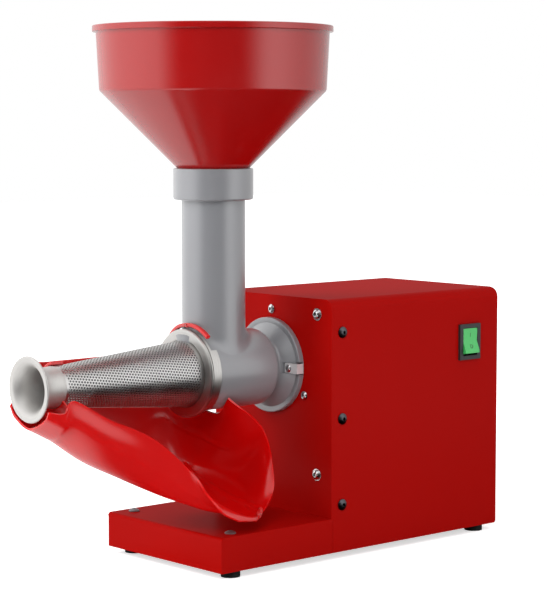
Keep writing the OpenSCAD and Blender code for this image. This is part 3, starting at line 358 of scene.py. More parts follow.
def cloudy_group():
    """Broad and fine cloudiness of a colour, as paint and plastic show."""
    group, w, given, out = new_group(
        "Cloudy colour",
        [(COLOUR, "Colour", WHITE), (FLOAT, "Shade", 0.1), (FLOAT, "Scale", 20.0)],
        [(COLOUR, "Colour"), (FLOAT, "Mask")],
    )
    fineness, broad_share = 9.0, 0.75
    broad = w.noise(given["Vector"], given["Scale"], 3.0)
    fine = w.noise(given["Vector"], w.times(given["Scale"], fineness))
    mask = w.math("ADD", w.times(broad, broad_share), w.times(fine, 1 - broad_share))
    swing = w.times(w.math("SUBTRACT", mask, 0.5), w.times(given["Shade"], 2.0))
    tint = w.vector("SCALE", i0=given["Colour"], Scale=w.math("ADD", 1.0, swing))
    w.put(out, Colour=tint[0], Mask=mask)
    return group


def skin_group():
    """The fine peel of a sprayed or moulded skin, as a height."""
    fineness = 5.0
    group, w, given, out = new_group(
        "Fine skin", [(FLOAT, "Scale", 500.0), (FLOAT, "Grit", 0.3)], [(FLOAT, "Height")]
    )
    peel = w.noise(given["Vector"], given["Scale"], 1.0)
    grit = w.noise(given["Vector"], w.times(given["Scale"], fineness), 1.0)
    w.put(out, Height=w.math("ADD", peel, w.times(grit, given["Grit"])))
    return group


def lathe_marks_group():
    """Fine rings about the press axis, left by turning or rolling."""
    group, w, given, out = new_group(
        "Lathe marks",
        [(FLOAT, "Fineness", 900.0), (FLOAT, "Drift", 6.0)],
        [(FLOAT, "Mark"), (FLOAT, "Smear")],
    )
    centred = w.vector("SUBTRACT", i0=given["Vector"], i1=(0, 0, AXIS_Z))[0]
    x, y, z = w.add("ShaderNodeSeparateXYZ", i0=centred).outputs
    radius = w.math("SQRT", w.math("ADD", w.times(x, x), w.times(z, z)))
    angle = w.math("ARCTAN2", z, x)
    place = w.add(
        "ShaderNodeCombineXYZ",
        X=w.times(radius, given["Fineness"]),
        Y=w.times(y, given["Fineness"]),
        Z=w.times(w.math("SINE", angle), given["Drift"]),
    ).outputs[0]
    w.put(out, Mark=w.noise(place, 1.0, 3.0, 0.6), Smear=w.noise(given["Vector"], 45.0, 3.0, 0.6))
    return group


def emptied(owner):
    """The wiring of a material or a world whose own nodes are cleared away."""
    owner.use_nodes = True
    owner.node_tree.nodes.clear()
    return Wiring(owner.node_tree)


def surface(name):
    """An empty material with its wiring, its Principled shader and its object coordinates."""
    material = bpy.data.materials.new(name)
    w = emptied(material)
    shader = w.add("ShaderNodeBsdfPrincipled")
    w.add("ShaderNodeOutputMaterial", i0=shader)
    place = w.add("ShaderNodeTexCoord").outputs["Object"]
    return material, w, shader, place


def placed_group(w, group, **inputs):
    return w.add("ShaderNodeGroup", {"node_tree": group}, **inputs).outputs


def bump(w, shader, height, strength, distance):
    node = w.add("ShaderNodeBump", Strength=strength, Distance=distance, Height=height)
    w.put(shader, Normal=node)


# The depth of the marks in bare metal, in metres
METAL_DEPTH = 0.00001
# The node groups and the finished materials, by name
GROUPS = {}
FINISH = {}


def cloudy(name, colour, shade, broad, rough, swing, peel, grit, strength, depth):
    """A cloudy colour over a fine skin. The roughness goes between the two shares in swing."""
    material, w, shader, place = surface(name)
    tint = placed_group(w, GROUPS["cloudy"], Vector=place, Colour=(*colour, 1), Shade=shade, Scale=broad)
    varied = w.ramp(tint["Mask"], 0.3, 0.7, rough * swing[0], rough * swing[1])
    w.put(shader, Base_Color=tint["Colour"], Roughness=varied)
    skin = placed_group(w, GROUPS["skin"], Vector=place, Scale=peel, Grit=grit)
    bump(w, shader, skin["Height"], strength, depth)
    return material, w, shader


def coated(name, colour, shade=0.06, rough=0.34, peel=420.0, depth=0.00002, strength=0.25,
           coat=0.0, coat_rough=0.1, specular=0.5, glow=0.0):
    """Paint, powder coat or moulded plastic. A glow is light that goes into it and comes out red."""
    material, w, shader = cloudy(name, colour, shade, 14.0, rough, (0.9, 1.12), peel, 0.3, strength, depth)
    w.put(shader, Coat_Weight=coat, Coat_Roughness=coat_rough, Specular_IOR_Level=specular)
    if glow:
        w.put(shader, Subsurface_Weight=glow, Subsurface_Radius=(1.0, 0.12, 0.1), Subsurface_Scale=0.004)
    return material


def satin(material, facing, grazing):
    """Lays a thin gloss over a paint, weaker at a grazing look than a clear coat would be."""
    steepness, gloss_rough = 4.0, 0.3
    w = Wiring(material.node_tree)
    shader, end = (next(node for node in material.node_tree.nodes if node.type == kind)
                   for kind in ("BSDF_PRINCIPLED", "OUTPUT_MATERIAL"))
    slant = w.add("ShaderNodeLayerWeight", Blend=0.5).outputs["Facing"]
    share = w.math("ADD", w.times(w.math("POWER", slant, steepness), grazing), facing)
    gloss = w.add("ShaderNodeBsdfGlossy", Color=WHITE, Roughness=gloss_rough)
    both = w.add("ShaderNodeMixShader", i0=share, i1=shader, i2=gloss)
    w.put(end, i0=both)
    return material


def turned_metal(name, colour, rough=0.25, fineness=900.0, contrast=0.12, strength=0.3, metallic=1.0):
    """Bare metal with fine rings about the press axis."""
    smear, ring = 0.16, 0.12
    material, w, shader, place = surface(name)
    marks = placed_group(w, GROUPS["lathe"], Vector=place, Fineness=fineness, Drift=5.0)
    dark = tuple(c * (1 - contrast) for c in colour)
    tint = w.mix(w.ramp(marks["Mark"], 0.35, 0.65, 0, 1), (*dark, 1), (*colour, 1))
    worn = w.math("ADD", w.times(marks["Smear"], smear), w.times(marks["Mark"], ring))
    worn = w.math("ADD", worn, rough - (smear + ring) / 2)
    w.put(shader, Base_Color=tint, Roughness=worn, Metallic=metallic)
    bump(w, shader, marks["Mark"], strength, METAL_DEPTH)
    return material


def plain_metal(name, colour, rough=0.3, shade=0.12, scale=90.0, grain=1200.0, strength=0.2, metallic=1.0):
    """Plated, cast or rolled metal without a direction."""
    material, w, shader = cloudy(name, colour, shade, scale, rough, (0.8, 1.25), grain, 0.5,
                                 strength, METAL_DEPTH)
    w.put(shader, Metallic=metallic)
    return material


def make_finishes(colours):
    """Makes every material once, in FINISH."""
    GROUPS.update(cloudy=cloudy_group(), skin=skin_group(), lathe=lathe_marks_group())
    FINISH.update(
        sheet_red=satin(coated("Red powder coat", colours.sheet_red, rough=0.42, shade=0.03,
                               strength=0.12, specular=0.0), 0.005, 0.05),
        plastic_red=coated("Red moulded plastic", colours.plastic_red, rough=0.2, peel=260.0,
                           shade=0.03, strength=0.04, specular=0.95),
        # The tray has the funnel's red plastic, painted lighter for the stronger light inside the tray; its
        # glow is light that really goes through the thin wall
        tray_red=coated("Red tray plastic with painted light", colours.tray_red, rough=0.22, peel=260.0,
                        shade=0.03, strength=0.04, specular=0.8, glow=0.6),
        head_grey=coated("Grey cast paint", colours.head_grey, rough=0.3, peel=300.0, shade=0.04,
                         strength=0.25, depth=0.00003, specular=1.0, coat=0.8, coat_rough=0.3),
        rubber=coated("Black rubber", (0.012, 0.012, 0.012), rough=0.6, specular=0.3),
        nylon=coated("Black nylon", (0.02, 0.02, 0.021), rough=0.4, peel=700.0),
        rocker=coated("Green rocker plastic", colours.rocker_green, rough=0.22, coat=0.2),
        mark=coated("Dark switch mark", (0.02, 0.09, 0.03), rough=0.4),
        sheet_steel=turned_metal("Stainless sheet", colours.stainless, rough=0.36, contrast=0.05,
                                 strength=0.06),
        blasted=turned_metal("Blasted stainless", (0.62, 0.605, 0.585), rough=0.48, contrast=0.04,
                             strength=0.05, metallic=0.75),
        catch=plain_metal("Satin zinc", (0.75, 0.75, 0.76), rough=0.45, metallic=0.4),
        ring_metal=turned_metal("Turned ring metal", (0.62, 0.61, 0.59), rough=0.4, fineness=1500.0,
                                strength=0.15),
        dull=plain_metal("Dull cast aluminium", (0.3, 0.3, 0.31), rough=0.55, scale=120.0, strength=0.5),
        cast=plain_metal("Cast aluminium", (0.6, 0.61, 0.62), rough=0.45, scale=120.0, strength=0.5),
        zinc=plain_metal("Bright zinc", (0.82, 0.82, 0.83), rough=0.2, shade=0.06),
        dark=plain_metal("Blackened steel", (0.1, 0.1, 0.11), rough=0.32),
        steel=plain_metal("Machined steel", (0.5, 0.51, 0.53), rough=0.35),
        laminate=plain_metal("Stator sheets", (0.26, 0.27, 0.29), rough=0.5, grain=2500.0, strength=0.6),
        copper=plain_metal("Enamelled copper wire", (0.72, 0.34, 0.14), rough=0.3, grain=1600.0,
                           strength=0.8),
    )


# ---- settings


def colour_property(name, description, default):
    return bpy.props.FloatVectorProperty(
        name=name, description=description, default=default, size=3, subtype="COLOR", min=0.0, max=1.0
    )


def length_property(name, description, default):
    return bpy.props.FloatProperty(
        name=name, description=description, default=default, min=0.0, subtype="DISTANCE", unit="LENGTH",
        precision=5
    )


class PressColours(bpy.types.PropertyGroup):
    """Colours of the press"""

    sheet_red: colour_property("Sheet red", "Coat of the housing and the base", (0.36, 0.0025, 0.0015))
    plastic_red: colour_property("Plastic red", "Funnel", (0.33, 0.0003, 0.0003))
    # Painted light: the funnel's red plastic made lighter for the light that falls into the tray; the glow
    # through the thin wall is real light
    tray_red: colour_property("Tray red", "Tray, whose thin wall lets light in", (0.58, 0.001, 0.001))
    head_grey: colour_property("Head grey", "Paint of the press head", (0.21, 0.214, 0.228))
    stainless: colour_property("Stainless", "Filter", (0.62, 0.61, 0.6))
    rocker_green: colour_property("Rocker green", "Rocker of the switch", (0.06, 0.5, 0.12))


class PressSizes(bpy.types.PropertyGroup):
    """Sizes of the details that the frame leaves open"""

    saddle_fillet: length_property("Saddle fillet", "Fillet between the inlet tube and the barrel", 0.008)
    hole_pitch: length_property("Hole pitch", "Distance between the holes of the filter", 0.0026)
    hole_diameter: length_property("Hole diameter", "Diameter of the holes of the filter", 0.00175)
    tray_wall: length_property("Tray wall", "Wall of the juice tray", 0.0017)
    sheet_edge: length_property("Sheet edge", "Rounding of the edges of the folded sheets", 0.0004)


# ---- pieces


class PressOperator:
    """Runs a step's build, with the sizes of the details"""

    bl_options = {"REGISTER", "UNDO"}

    def execute(self, context):
        self.build(context.scene.press_sizes)
        return {"FINISHED"}


class PRESS_OT_funnel(PressOperator, bpy.types.Operator):
    """Funnel with its spigot and stepped rim"""

    bl_idname = "press.funnel"
    bl_label = "Funnel"

    def build(self, sizes):
        # The height of the collar's top, and the outline of [radius, height above it]
        top = 328
        points = [(30.2, -17), (30.2, 0.2), (94, 64), (96.5, 112), (99.5, 112), (99.5, 117), (94.3, 117),
                  (91.8, 64.9), (28, 0.9), (28, -17)]
        corners = {0: 0.6, 1: 1.5, 2: 4, 3: 0.5, 4: 0.5, 5: 0.9, 6: 0.8, 7: 3.5, 8: 1.2, 9: 0.6}
        outline = scaled(rounded(points, corners=corners), top * MM)
        obj = turned("funnel_shell", outline, (0, TUBE_Y, 0), (0, 0, 1), steps=144)
        finished(obj, "plastic_red", "funnel", ["funnel"])


class PRESS_OT_head(PressOperator, bpy.types.Operator):
    """Cast press head: barrel, inlet tube with collar, and rear flange"""

    bl_idname = "press.head"
    bl_label = "Press head"

    def build(self, sizes):
        barrel_r, tube_r, fillet = 32.5, 26.5, sizes.saddle_fillet / MM
        # The outline of [radius, place along the axis], from the barrel's mouth to the flange
        points = [(0, -95), (barrel_r, -95), (barrel_r, -23), (24.5, -23), (24.5, -14), (36.25, -6.4),
                  (37.55, -7), (40.75, -7), (40.75, -2), (32.3, -2), (32.3, -7.3), (0, -7.3)]
        corners = {1: 1.0, 2: 2.0, 3: 1.5, 4: 3.0, 5: 1.0, 7: 1.2, 8: 0.3}
        barrel = turned("press_head", scaled(rounded(points, corners=corners, steps=6), Y0), steps=160)
        collar = [(tube_r, 296), (tube_r, 302), (33.2, 302), (33.2, 328), (20, 328)]
        upper = [(tube_r, 200)] + rounded(collar, corners={1: 1.0, 2: 1.8, 3: 1.2})
        saddle_rows = 11
        rows = saddle_rows + len(upper) - 1
        # Two rows lie in the barrel, and the fillet's foot just above its skin
        buried, skin = (12, 2), barrel_r + 0.01

        def inlet(u, v):
            angle = 2 * pi * u
            step = round(v * rows)
            c, s = cos(angle), sin(angle)
            if step >= saddle_rows:
                radius, z = upper[step - saddle_rows]
                return mm(radius * c, TUBE + radius * s, z)
            x0, y0 = tube_r * c, tube_r * s
            turn = asin(x0 / barrel_r)
            z0 = AXIS + barrel_r * cos(turn)
            # the tube's outward normal, laid out flat on the barrel
            nx, ny = c / cos(turn), s
            size = hypot(nx, ny)
            end_turn = turn + fillet * nx / size / barrel_r
            end_y = y0 + fillet * ny / size
            if step < len(buried):
                inner = barrel_r - buried[step]
                return mm(inner * sin(end_turn), TUBE + end_y, AXIS + inner * cos(end_turn))
            end = Vector((skin * sin(end_turn), end_y, AXIS + skin * cos(end_turn)))
            corner = Vector((x0, y0, z0))
            start = Vector((x0, y0, z0 + fillet * 1.15))
            t = (step - len(buried)) / (saddle_rows - len(buried) - 1)
            p = end * (1 - t) ** 2 + corner * 2 * t * (1 - t) + start * t * t
            return mm(p.x, TUBE + p.y, p.z)

        boolean(barrel, capped(sheet("inlet", 128, rows, inlet)), "UNION")
        # The bore, the shaft's way out, the inlet and its wider seat for the funnel
        for radius, start, end in (
            (27.5, (0, -96, AXIS), (0, -26, AXIS)),
            (11, (0, -30, AXIS), (0, 2, AXIS)),
            (22.5, (0, TUBE, AXIS), (0, TUBE, 330)),
            (30.5, (0, TUBE, 310), (0, TUBE, 330)),
        ):
            boolean(barrel, plug(radius * MM, mm(*start), mm(*end)), "DIFFERENCE")
        # The notch in the flange's rim, the pad under the catch, and the slot that the catch slides in
        for low, high, operation in (
            ((36.55, -8, 153.6), (45, -3.2, 164.4), "DIFFERENCE"),
            ((29.55, -10, 154.4), (35.55, -6.5, 163.6), "UNION"),
            ((25.3, -20, 154.4), (60, -10, 163.6), "DIFFERENCE"),
        ):
            boolean(barrel, block(mm(*low), mm(*high)), operation)
        # The recess at the back, for the housing's spigot
        boolean(barrel, plug(32.3 * MM, mm(0, -7.3, AXIS), mm(0, 0, AXIS)), "DIFFERENCE")
        finished(barrel, "head_grey", "housing", ["press_body"])


class PRESS_OT_outlet(PressOperator, bpy.types.Operator):
    """Trumpet with its rolled lip, and the ring nut"""

    bl_idname = "press.outlet"
    bl_label = "Trumpet and ring nut"

    def build(self, sizes):
        neck_r, lip_r, bead, wall = 16.3, 26.3, 1.0, 1.2
        back, neck, front = -231.35, -239.35, -255.35
        bead_y = front + bead
        flare = lip_r - bead - neck_r
        steps, bead_steps, opening = 12, 16, 80

        def horn(radius, depth):
            """The flare's outline from the neck to the lip."""
            angles = [radians(opening) * i / steps for i in range(steps + 1)]
            return [(radius + flare * (1 - cos(a)), neck - depth * sin(a)) for a in angles]

        # The bead goes from its back, round its outer side, to the front
        lip = [(lip_r - bead + bead * cos(a), bead_y + bead * sin(a))
               for a in (radians(150 - 240 * i / bead_steps) for i in range(bead_steps + 1))]
        # A raised band at the neck, which starts inside the cone's end
        raised, lap = 0.35, 1.5
        band = [(neck_r, back + lap), (neck_r + raised, back), (neck_r + raised, back - 3),
                (neck_r, back - 3.6)]
        inside = horn(neck_r - wall, neck - front)[::-1] + [(neck_r - wall, back + lap)]
        outline = band + horn(neck_r, neck - bead_y) + lip + inside
        trumpet = turned("waste_trumpet", scaled(outline, Y0), steps=128)
        finished(trumpet, "blasted", "filter", ["trumpet"], smooth=40)
        dressed("ring_nut", "ring_metal", edge=0.0003)


class PRESS_OT_strainer(PressOperator, bpy.types.Operator):
    """Perforated cone, rolled from a flat sheet of staggered holes, with its plain bands"""

    bl_idname = "press.strainer"
    bl_label = "Filter cone"

    # The sheet's thickness, and the radii and places of the cone's two ends, in metres
    thickness = 0.0008
    wide, narrow = 0.0275, 0.016
    back, front = Y0 - 0.10035, Y0 - 0.23135

    def build(self, sizes):
        lean = atan((self.wide - self.narrow) / (self.back - self.front))
        near, far = self.narrow / sin(lean), self.wide / sin(lean)
        half_turn = pi * sin(lean)
        pitch, hole = sizes.hole_pitch, sizes.hole_diameter / 2
        row = pitch * sqrt(3)
        weld = 1e-5

        def rolled(point):
            distance = hypot(point.x, point.y)
            turn = (half_turn - atan2(point.y, point.x)) / sin(lean)
            radius = distance * sin(lean)
            y = self.front + (distance - near) * cos(lean)
            return Vector((radius * sin(turn), y, AXIS_Z + radius * cos(turn)))

        middle = (near + far) / 2
        for name, low, high in (("strainer_front", near, middle), ("strainer_back", middle, far)):
            obj = self.hole_cell(name, hole, pitch)
            left = low * cos(2 * half_turn)
            start = Vector((floor(left / pitch) * pitch, -row / 2, 0))
            for vertex in obj.data.vertices:
                vertex.co += start
            for cells, step in (((high - left) / pitch, (pitch, 0, 0)),
                                (high * sin(2 * half_turn) / row, (0, row, 0))):
                apply_modifier(obj, "ARRAY", count=int(cells) + 3, constant_offset_displace=step,
                               use_constant_offset=True, use_relative_offset=False,
                               use_merge_vertices=True, merge_threshold=weld)
            close_up(obj, weld)
            self.keep_sector(obj, low, high, half_turn)
            for vertex in obj.data.vertices:
                vertex.co = rolled(vertex.co)
            close_up(obj, weld)
            self.face_out(obj)
            apply_modifier(obj, "SOLIDIFY", thickness=self.thickness, offset=-1.0)
            self.steel(obj)
        self.bands(tan(lean))

    def steel(self, obj):
        return finished(obj, "sheet_steel", "filter", smooth=40)

    def hole_cell(self, name, hole, pitch):
        """Two neighbouring hexagons of sheet, each round a hole."""
        begin()
        bpy.ops.mesh.primitive_circle_add(vertices=12, radius=hole)
        obj = bpy.context.object
        obj.name = name
        edit()
        bpy.ops.mesh.extrude_region_move()
        object_mode()
        for vertex in obj.data.vertices:
            if vertex.select:
                angle = atan2(vertex.co.y, vertex.co.x)
                off = (angle + radians(30)) % radians(60) - radians(30)
                reach = pitch / 2 / cos(off)
                vertex.co = Vector((cos(angle), sin(angle), 0)) * reach
        edit()
        step = (pitch / 2, pitch * sqrt(3) / 2, 0)
        bpy.ops.mesh.duplicate_move(TRANSFORM_OT_translate={"value": step})
        object_mode()
        return obj

    def keep_sector(self, obj, low, high, half_turn):
        """Deletes what lies outside the flat shape of the cone, less a gap for the seam."""
        gap = 0.0012
        edit("DESELECT")
        bpy.ops.mesh.select_mode(type="FACE")
        object_mode()
        for face in obj.data.polygons:
            x, y = face.center.x, face.center.y
            distance = hypot(x, y)
            off = abs(atan2(y, x) - half_turn)
            face.select = not (low < distance < high and off < half_turn - gap / distance)
        bpy.ops.object.mode_set(mode="EDIT")
        bpy.ops.mesh.delete(type="FACE")
        object_mode()

    def face_out(self, obj):
        """Turns the open sheet so that its faces look away from the axis."""
        out = 0.0
        for face in obj.data.polygons:
            away = Vector((face.center.x, 0, face.center.z - AXIS_Z))
            out += face.normal.dot(away)
        if out < 0:
            flip()

    def bands(self, rise):
        """The cone's plain ends, its flange and its welded seam, all a little proud of the sheet."""
        wide, narrow, back, front = self.wide, self.narrow, self.back, self.front
        proud = 0.0001
        t = self.thickness + proud
        overhang, band, lap = 0.0003, 0.0035, 0.003
        flange_r, flange_low, flange_high = 0.0324, back + 0.00335, back + 0.00525
        near = [(narrow + proud, front - overhang), (narrow + proud + band * rise, front + band),
                (narrow + band * rise - t, front + band), (narrow - t, front - overhang)]
        self.steel(turned("strainer_front_band", near))
        far = [(wide + proud - lap * rise, back - lap), (wide + proud, back), (wide + proud, flange_low),
               (flange_r, flange_low), (flange_r, flange_high), (wide - t, flange_high),
               (wide - t, back), (wide - t - lap * rise, back - lap)]
        flange = self.steel(turned("strainer_flange", far))
        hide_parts("filter_cone")
        seam_width, taper = 0.0032, 0.4

        def seam(u, v):
            angle = pi + (u - 0.5) * seam_width / narrow * (1 - taper * v)
            radius = narrow + (wide - narrow) * v + proud
            y = front + (back - front) * v
            return Vector((radius * sin(angle), y, AXIS_Z + radius * cos(angle)))

        strip = sheet("strainer_seam", 4, 40, seam)
        self.face_out(strip)
        apply_modifier(strip, "SOLIDIFY", thickness=t, offset=-1.0)
        self.steel(strip)


class PRESS_OT_tray(PressOperator, bpy.types.Operator):
    """Juice tray with its strap and hook"""

    bl_idname = "press.tray"
    bl_label = "Juice tray"

    # Ribs from the front to the spout, each from the far edge round the floor to the near
    # edge: [x, share of the length, share of the fall] in percent
    ribs = (
        ((-26, 0.8, 14), (-19, 0.8, 21.5), (-1, 1, 27.9), (20, 0.8, 20.6), (27, 0.8, 14)),
        ((-31, 8.5, -4), (-28.5, 8, 19), (0, 7.6, 34.5), (24, 7.6, 26), (28.5, 7.6, 15)),
        ((-36, 14, -13), (-36, 13, 19), (0, 12, 39), (28, 11.8, 26), (29.5, 11.6, 7)),
        ((-41, 24, -13), (-42, 24, 30), (4, 24, 54.5), (34, 24, 41), (37, 25, 21.5)),
        ((-41, 38.5, -13), (-43, 38, 38.5), (9, 37, 66.5), (38, 37, 54.5), (42, 36, 30.5)),
        ((-41, 53, -13), (-43, 51.5, 52), (16, 46, 75), (42, 46.5, 66), (47, 44.5, 40)),
        ((-41, 67, -13), (-43, 64, 65), (24, 53, 81.5), (49, 54, 76), (53, 54, 56.5)),
        ((-40, 80, -6), (-42, 75, 71), (33, 59.5, 86.5), (57, 61, 83.5), (60, 57.5, 67.5)),
        ((-33.5, 85, 12), (-38, 86, 76), (41, 66, 91), (64, 67.5, 89.5), (67, 59, 77)),
        ((-18, 89.5, 27.5), (-24, 92.5, 78), (48, 75, 94.5), (69, 74, 94.5), (74, 61, 84.5)),
        ((7, 90, 30.5), (14, 98, 74.5), (56, 86, 97.5), (74, 79, 98), (78.5, 63.5, 91.5)),
        ((28, 86.5, 17), (44.5, 98.2, 42), (58.5, 97.4, 81.5), (73, 83, 99), (80, 70.5, 98)),
    )
    front, length, fall = -256.35, 210.35, 114
    # Where the spout's front wall folds up from its floor, and the fold high on the far
    # wall: [rib, share of the way across] pairs
    spout_fold = ((8.2, 0.22), (8.8, 0.29), (9.2, 0.34), (9.5, 0.38), (9.9, 0.43), (10.3, 0.54),
                  (10.6, 0.65), (11, 0.78))
    wall_fold = ((6.6, 0.14), (7.3, 0.12), (8.1, 0.11), (9.1, 0.1), (9.7, 0.125), (10.1, 0.15))
    # The strap over the ring in two parts, and the band over the trumpet's neck: radius, lean in
    # degrees, shift to the side, the angles it goes between, its places along the axis, thickness
    straps = (
        (38.4, -11, 0, 86, 190, -98.3, -94.4, 3),
        (39.0, 0, 3, 52, 96, -98.3, -94.4, 3),
        (17.6, 0, 0, 100, 172, -231, -219, 2.4),
    )

    def build(self, sizes):
        rows, cols = 200, 160
        last = len(self.ribs) - 1
        ribs = [[Vector((x, self.front + y * self.length / 100, AXIS - z * self.fall / 100))
                 for x, y, z in rib] for rib in self.ribs]
        columns = [[self.along(rib, 4 * j / cols) for rib in ribs] for j in range(cols + 1)]
        skin = [[self.along(column, last * i / rows) for column in columns] for i in range(rows + 1)]

        def inward(i, j):
            """The normal at a point of the grid, and the length of a step across there."""
            across = skin[i][min(j + 1, cols)] - skin[i][max(j - 1, 0)]
            down = skin[min(i + 1, rows)][j] - skin[max(i - 1, 0)][j]
            return across.cross(down).normalized(), across.length / (min(j + 1, cols) - max(j - 1, 0))

        def place(u, v):
            i, j = round(u * rows), round(v * cols)
            normal, step = inward(i, j)
            rise = self.fold(self.spout_fold, last * u, j, cols, step, 1.5, 3.2)
            rise += self.fold(self.wall_fold, last * u, j, cols, step, 1.2, 0)
            return mm(*(skin[i][j] + normal * rise))

        tray = sheet("juice_tray", rows, cols, place)
        wanted, _ = inward(rows // 2, cols // 2)
        middle = mm(*skin[rows // 2][cols // 2])
        nearest = min(tray.data.polygons, key=lambda face: (face.center - middle).length)
        if nearest.normal.dot(wanted) > 0:
            flip()
        apply_modifier(tray, "SOLIDIFY", thickness=sizes.tray_wall, offset=-1.0)
        bevel(tray, 0.0004)
        # The hook stands on the third rib, a little off the tray's inner face
        rib = round(2 / last * rows)
        rim = [skin[rib][j] + inward(rib, j)[0] * 0.8
               for j in range(round(0.1 * cols), round(0.88 * cols), 3)]
        pieces = [tray, self.hook(rim)] + [self.strap(*values) for values in self.straps]
        begin()
        for piece in pieces:
            piece.select_set(True)
        bpy.context.view_layer.objects.active = tray
        bpy.ops.object.join()
        node = "drip_tray"
        finished(tray, "tray_red", frame["nodes"][node]["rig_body"], [node], smooth=40)

    def along(self, points, u):
        """A point at u along a smooth curve, where whole numbers are the points themselves."""
        last = len(points) - 1
        i = min(int(u), last - 1)
        t = u - i
        a = points[i - 1] if i else points[0] * 2 - points[1]
        b, c = Vector(points[i]), Vector(points[i + 1])
        d = points[i + 2] if i + 2 <= last else points[last] * 2 - points[last - 1]
        squared, cubed = a * 2 - b * 5 + c * 4 - d, b * 3 - a - c * 3 + d
        return (b * 2 + (c - a) * t + squared * t * t + cubed * t ** 3) / 2

    def fold(self, line, rib, j, cols, step, height, apart):
        """How far a fold lifts the sheet, in millimetres: one ridge, or two that part along the fold."""
        first, end = line[0][0], line[-1][0]
        if not first <= rib <= end:
            return 0.0
        k = max(i for i in range(len(line) - 1) if line[i][0] <= rib)
        (r0, v0), (r1, v1) = line[k], line[k + 1]
        off = (j - cols * (v0 + (v1 - v0) * (rib - r0) / (r1 - r0))) * step
        # It rises over half a rib at its start and goes down over less at its end
        grown = min(1.0, (rib - first) / 0.5, (end - rib) / 0.4)
        if not apart:
            return height * grown * exp(-(off / 1.8) ** 2)
        apart *= 0.5 + 0.5 * (rib - first) / (end - first)
        return height * grown * sum(exp(-((off + side * apart) / 2.0) ** 2) for side in (-1, 1))

    def hook(self, rim):
        """The wall across the tray with the round seat for the trumpet's neck."""
        seat_r = 16.6
        seat = []
        for point in rim:
            angle = atan2(point.z - AXIS, point.x)
            seat.append(Vector((seat_r * cos(angle), point.y, AXIS + seat_r * sin(angle))))
        count = len(rim) - 1

        def place(u, v):
            i = round(u * count)
            return mm(*rim[i].lerp(seat[i], v))

        wall = sheet("tray_hook", count, 6, place)
        apply_modifier(wall, "SOLIDIFY", thickness=0.0022, offset=0.0)
        bevel(wall, 0.0006, 3)
        return wall

    def strap(self, radius, tilt, shift, near, far, low, high, thick):
        """A band round the axis, one row of the straps."""
        loop = rounded([(0, low), (thick, low), (thick, high), (0, high)], radius=0.8, steps=3)
        lean = Matrix.Rotation(radians(tilt), 4, "Z")
        middle = Vector((shift, low, AXIS))

        def place(u, point):
            angle = radians(near + (far - near) * u)
            depth, y = point
            arm = Vector(((radius + depth) * cos(angle), y - low, (radius + depth) * sin(angle)))
            return mm(*(middle + lean @ arm))

        return bar("tray_strap", 48, loop, place)


class PRESS_OT_housing(PressOperator, bpy.types.Operator):
    """Folded cover, front plate, base pan and rear panel"""

    bl_idname = "press.housing"
    bl_label = "Housing"

    def build(self, sizes):
        for node in ("housing_cover", "front_plate", "base_pan", "rear_panel"):
            dressed(node, "sheet_red", edge=sizes.sheet_edge, smooth=35)


class PRESS_OT_switch(PressOperator, bpy.types.Operator):
    """Switch frame, and the rocker with its two marks"""

    bl_idname = "press.switch"
    bl_label = "Switch"

    # The rocker at rest: its pivot, its tilt in degrees, how far out its hollow lies and how
    # steeply its face rises from there
    pivot, tilt, out_of_pivot, slope = (72.5, 163.5, 172.7), -9, 4.4, 1.8 / 7.92

    def build(self, sizes):
        dressed("switch_bezel", "nylon", edge=0.0006)
        dressed("switch_rocker", "rocker", edge=0.0004)
        # The marks lie in the face, from a little below it to a little above
        low, high = -0.1, 0.12
        stroke = block(Vector((-1.8, -0.25, low)) * MM, Vector((1.8, 0.25, high)) * MM)
        apply_modifier(stroke, "BEVEL", width=0.0001, segments=2)
        self.place_mark(stroke, 5.2)
        outline = rounded([(1.2, low), (1.8, low), (1.8, high), (1.2, high)], 0.08)
        ring = turned("switch_ring", scaled(outline), (0, 0, 0), (0, 0, 1), steps=32)
        self.place_mark(ring, -5.0)

    def place_mark(self, obj, height):
        """Lays a mark on the rocker's face at a height above or below its hollow."""
        slope = copysign(self.slope, height)
        lean = Matrix.Rotation(radians(self.tilt), 3, "Y")
        reach = Vector((self.out_of_pivot + height * slope, 0, height)) * MM
        spot = mm(*self.pivot) + lean @ reach
        out = lean @ Vector((1, 0, -slope)).normalized()
        side = Vector((0, 1, 0))
        turn = Matrix((side.cross(out), side, out)).transposed().to_4x4()
        obj.data.transform(Matrix.Translation(spot) @ turn)
        finished(obj, "mark", "rocker")


class PRESS_OT_fasteners(PressOperator, bpy.types.Operator):
    """Screws, washers, catch, feet and cable gland"""

    bl_idname = "press.fasteners"
    bl_label = "Fasteners and feet"

    def build(self, sizes):
        # The finish, the rounding of the edges in millimetres, and the nodes
        for finish, edge, nodes in (
            ("zinc", 0.15, ("plate_screws", "plate_washers", "gearbox_screws", "catch_screw")),
            ("catch", 0.15, ("lock_catch",)),
            ("dull", 0.15, ("foot_screws",)),
            ("dark", 0.15, ("cover_screws", "rear_screws")),
            ("rubber", 0.5, ("rubber_feet",)),
            ("nylon", 0.3, ("cable_gland",)),
        ):
            for node in nodes:
                dressed(node, finish, edge=edge * MM)


class PRESS_OT_drive(PressOperator, bpy.types.Operator):
    """Finishes of the auger, the gears and the motor inside the housing"""

    bl_idname = "press.drive"
    bl_label = "Auger, gears and motor"

    def build(self, sizes):
        finishes = {
            "dull": ("auger", "auger_flight"),
            "cast": ("gearbox_case", "gearbox_cover", "motor_front_shield",
                     "motor_rear_shield", "bayonet_ring"),
            "steel": ("mount_plate", "output_shaft", "output_gear", "output_bearings", "layshaft",
                      "layshaft_gear", "layshaft_bearings", "rotor_shaft", "motor_bearings", "motor_cradle"),
            "laminate": ("rotor_core", "stator_core"),
            "zinc": ("case_screws", "motor_bolts", "capacitor"),
            "copper": ("windings",),
            "nylon": ("cooling_fan", "gland_nut"),
            "rubber": ("shaft_seal",),
        }
        for finish, nodes in finishes.items():
            for node in nodes:
                painted(frame["nodes"][node].data, finish)


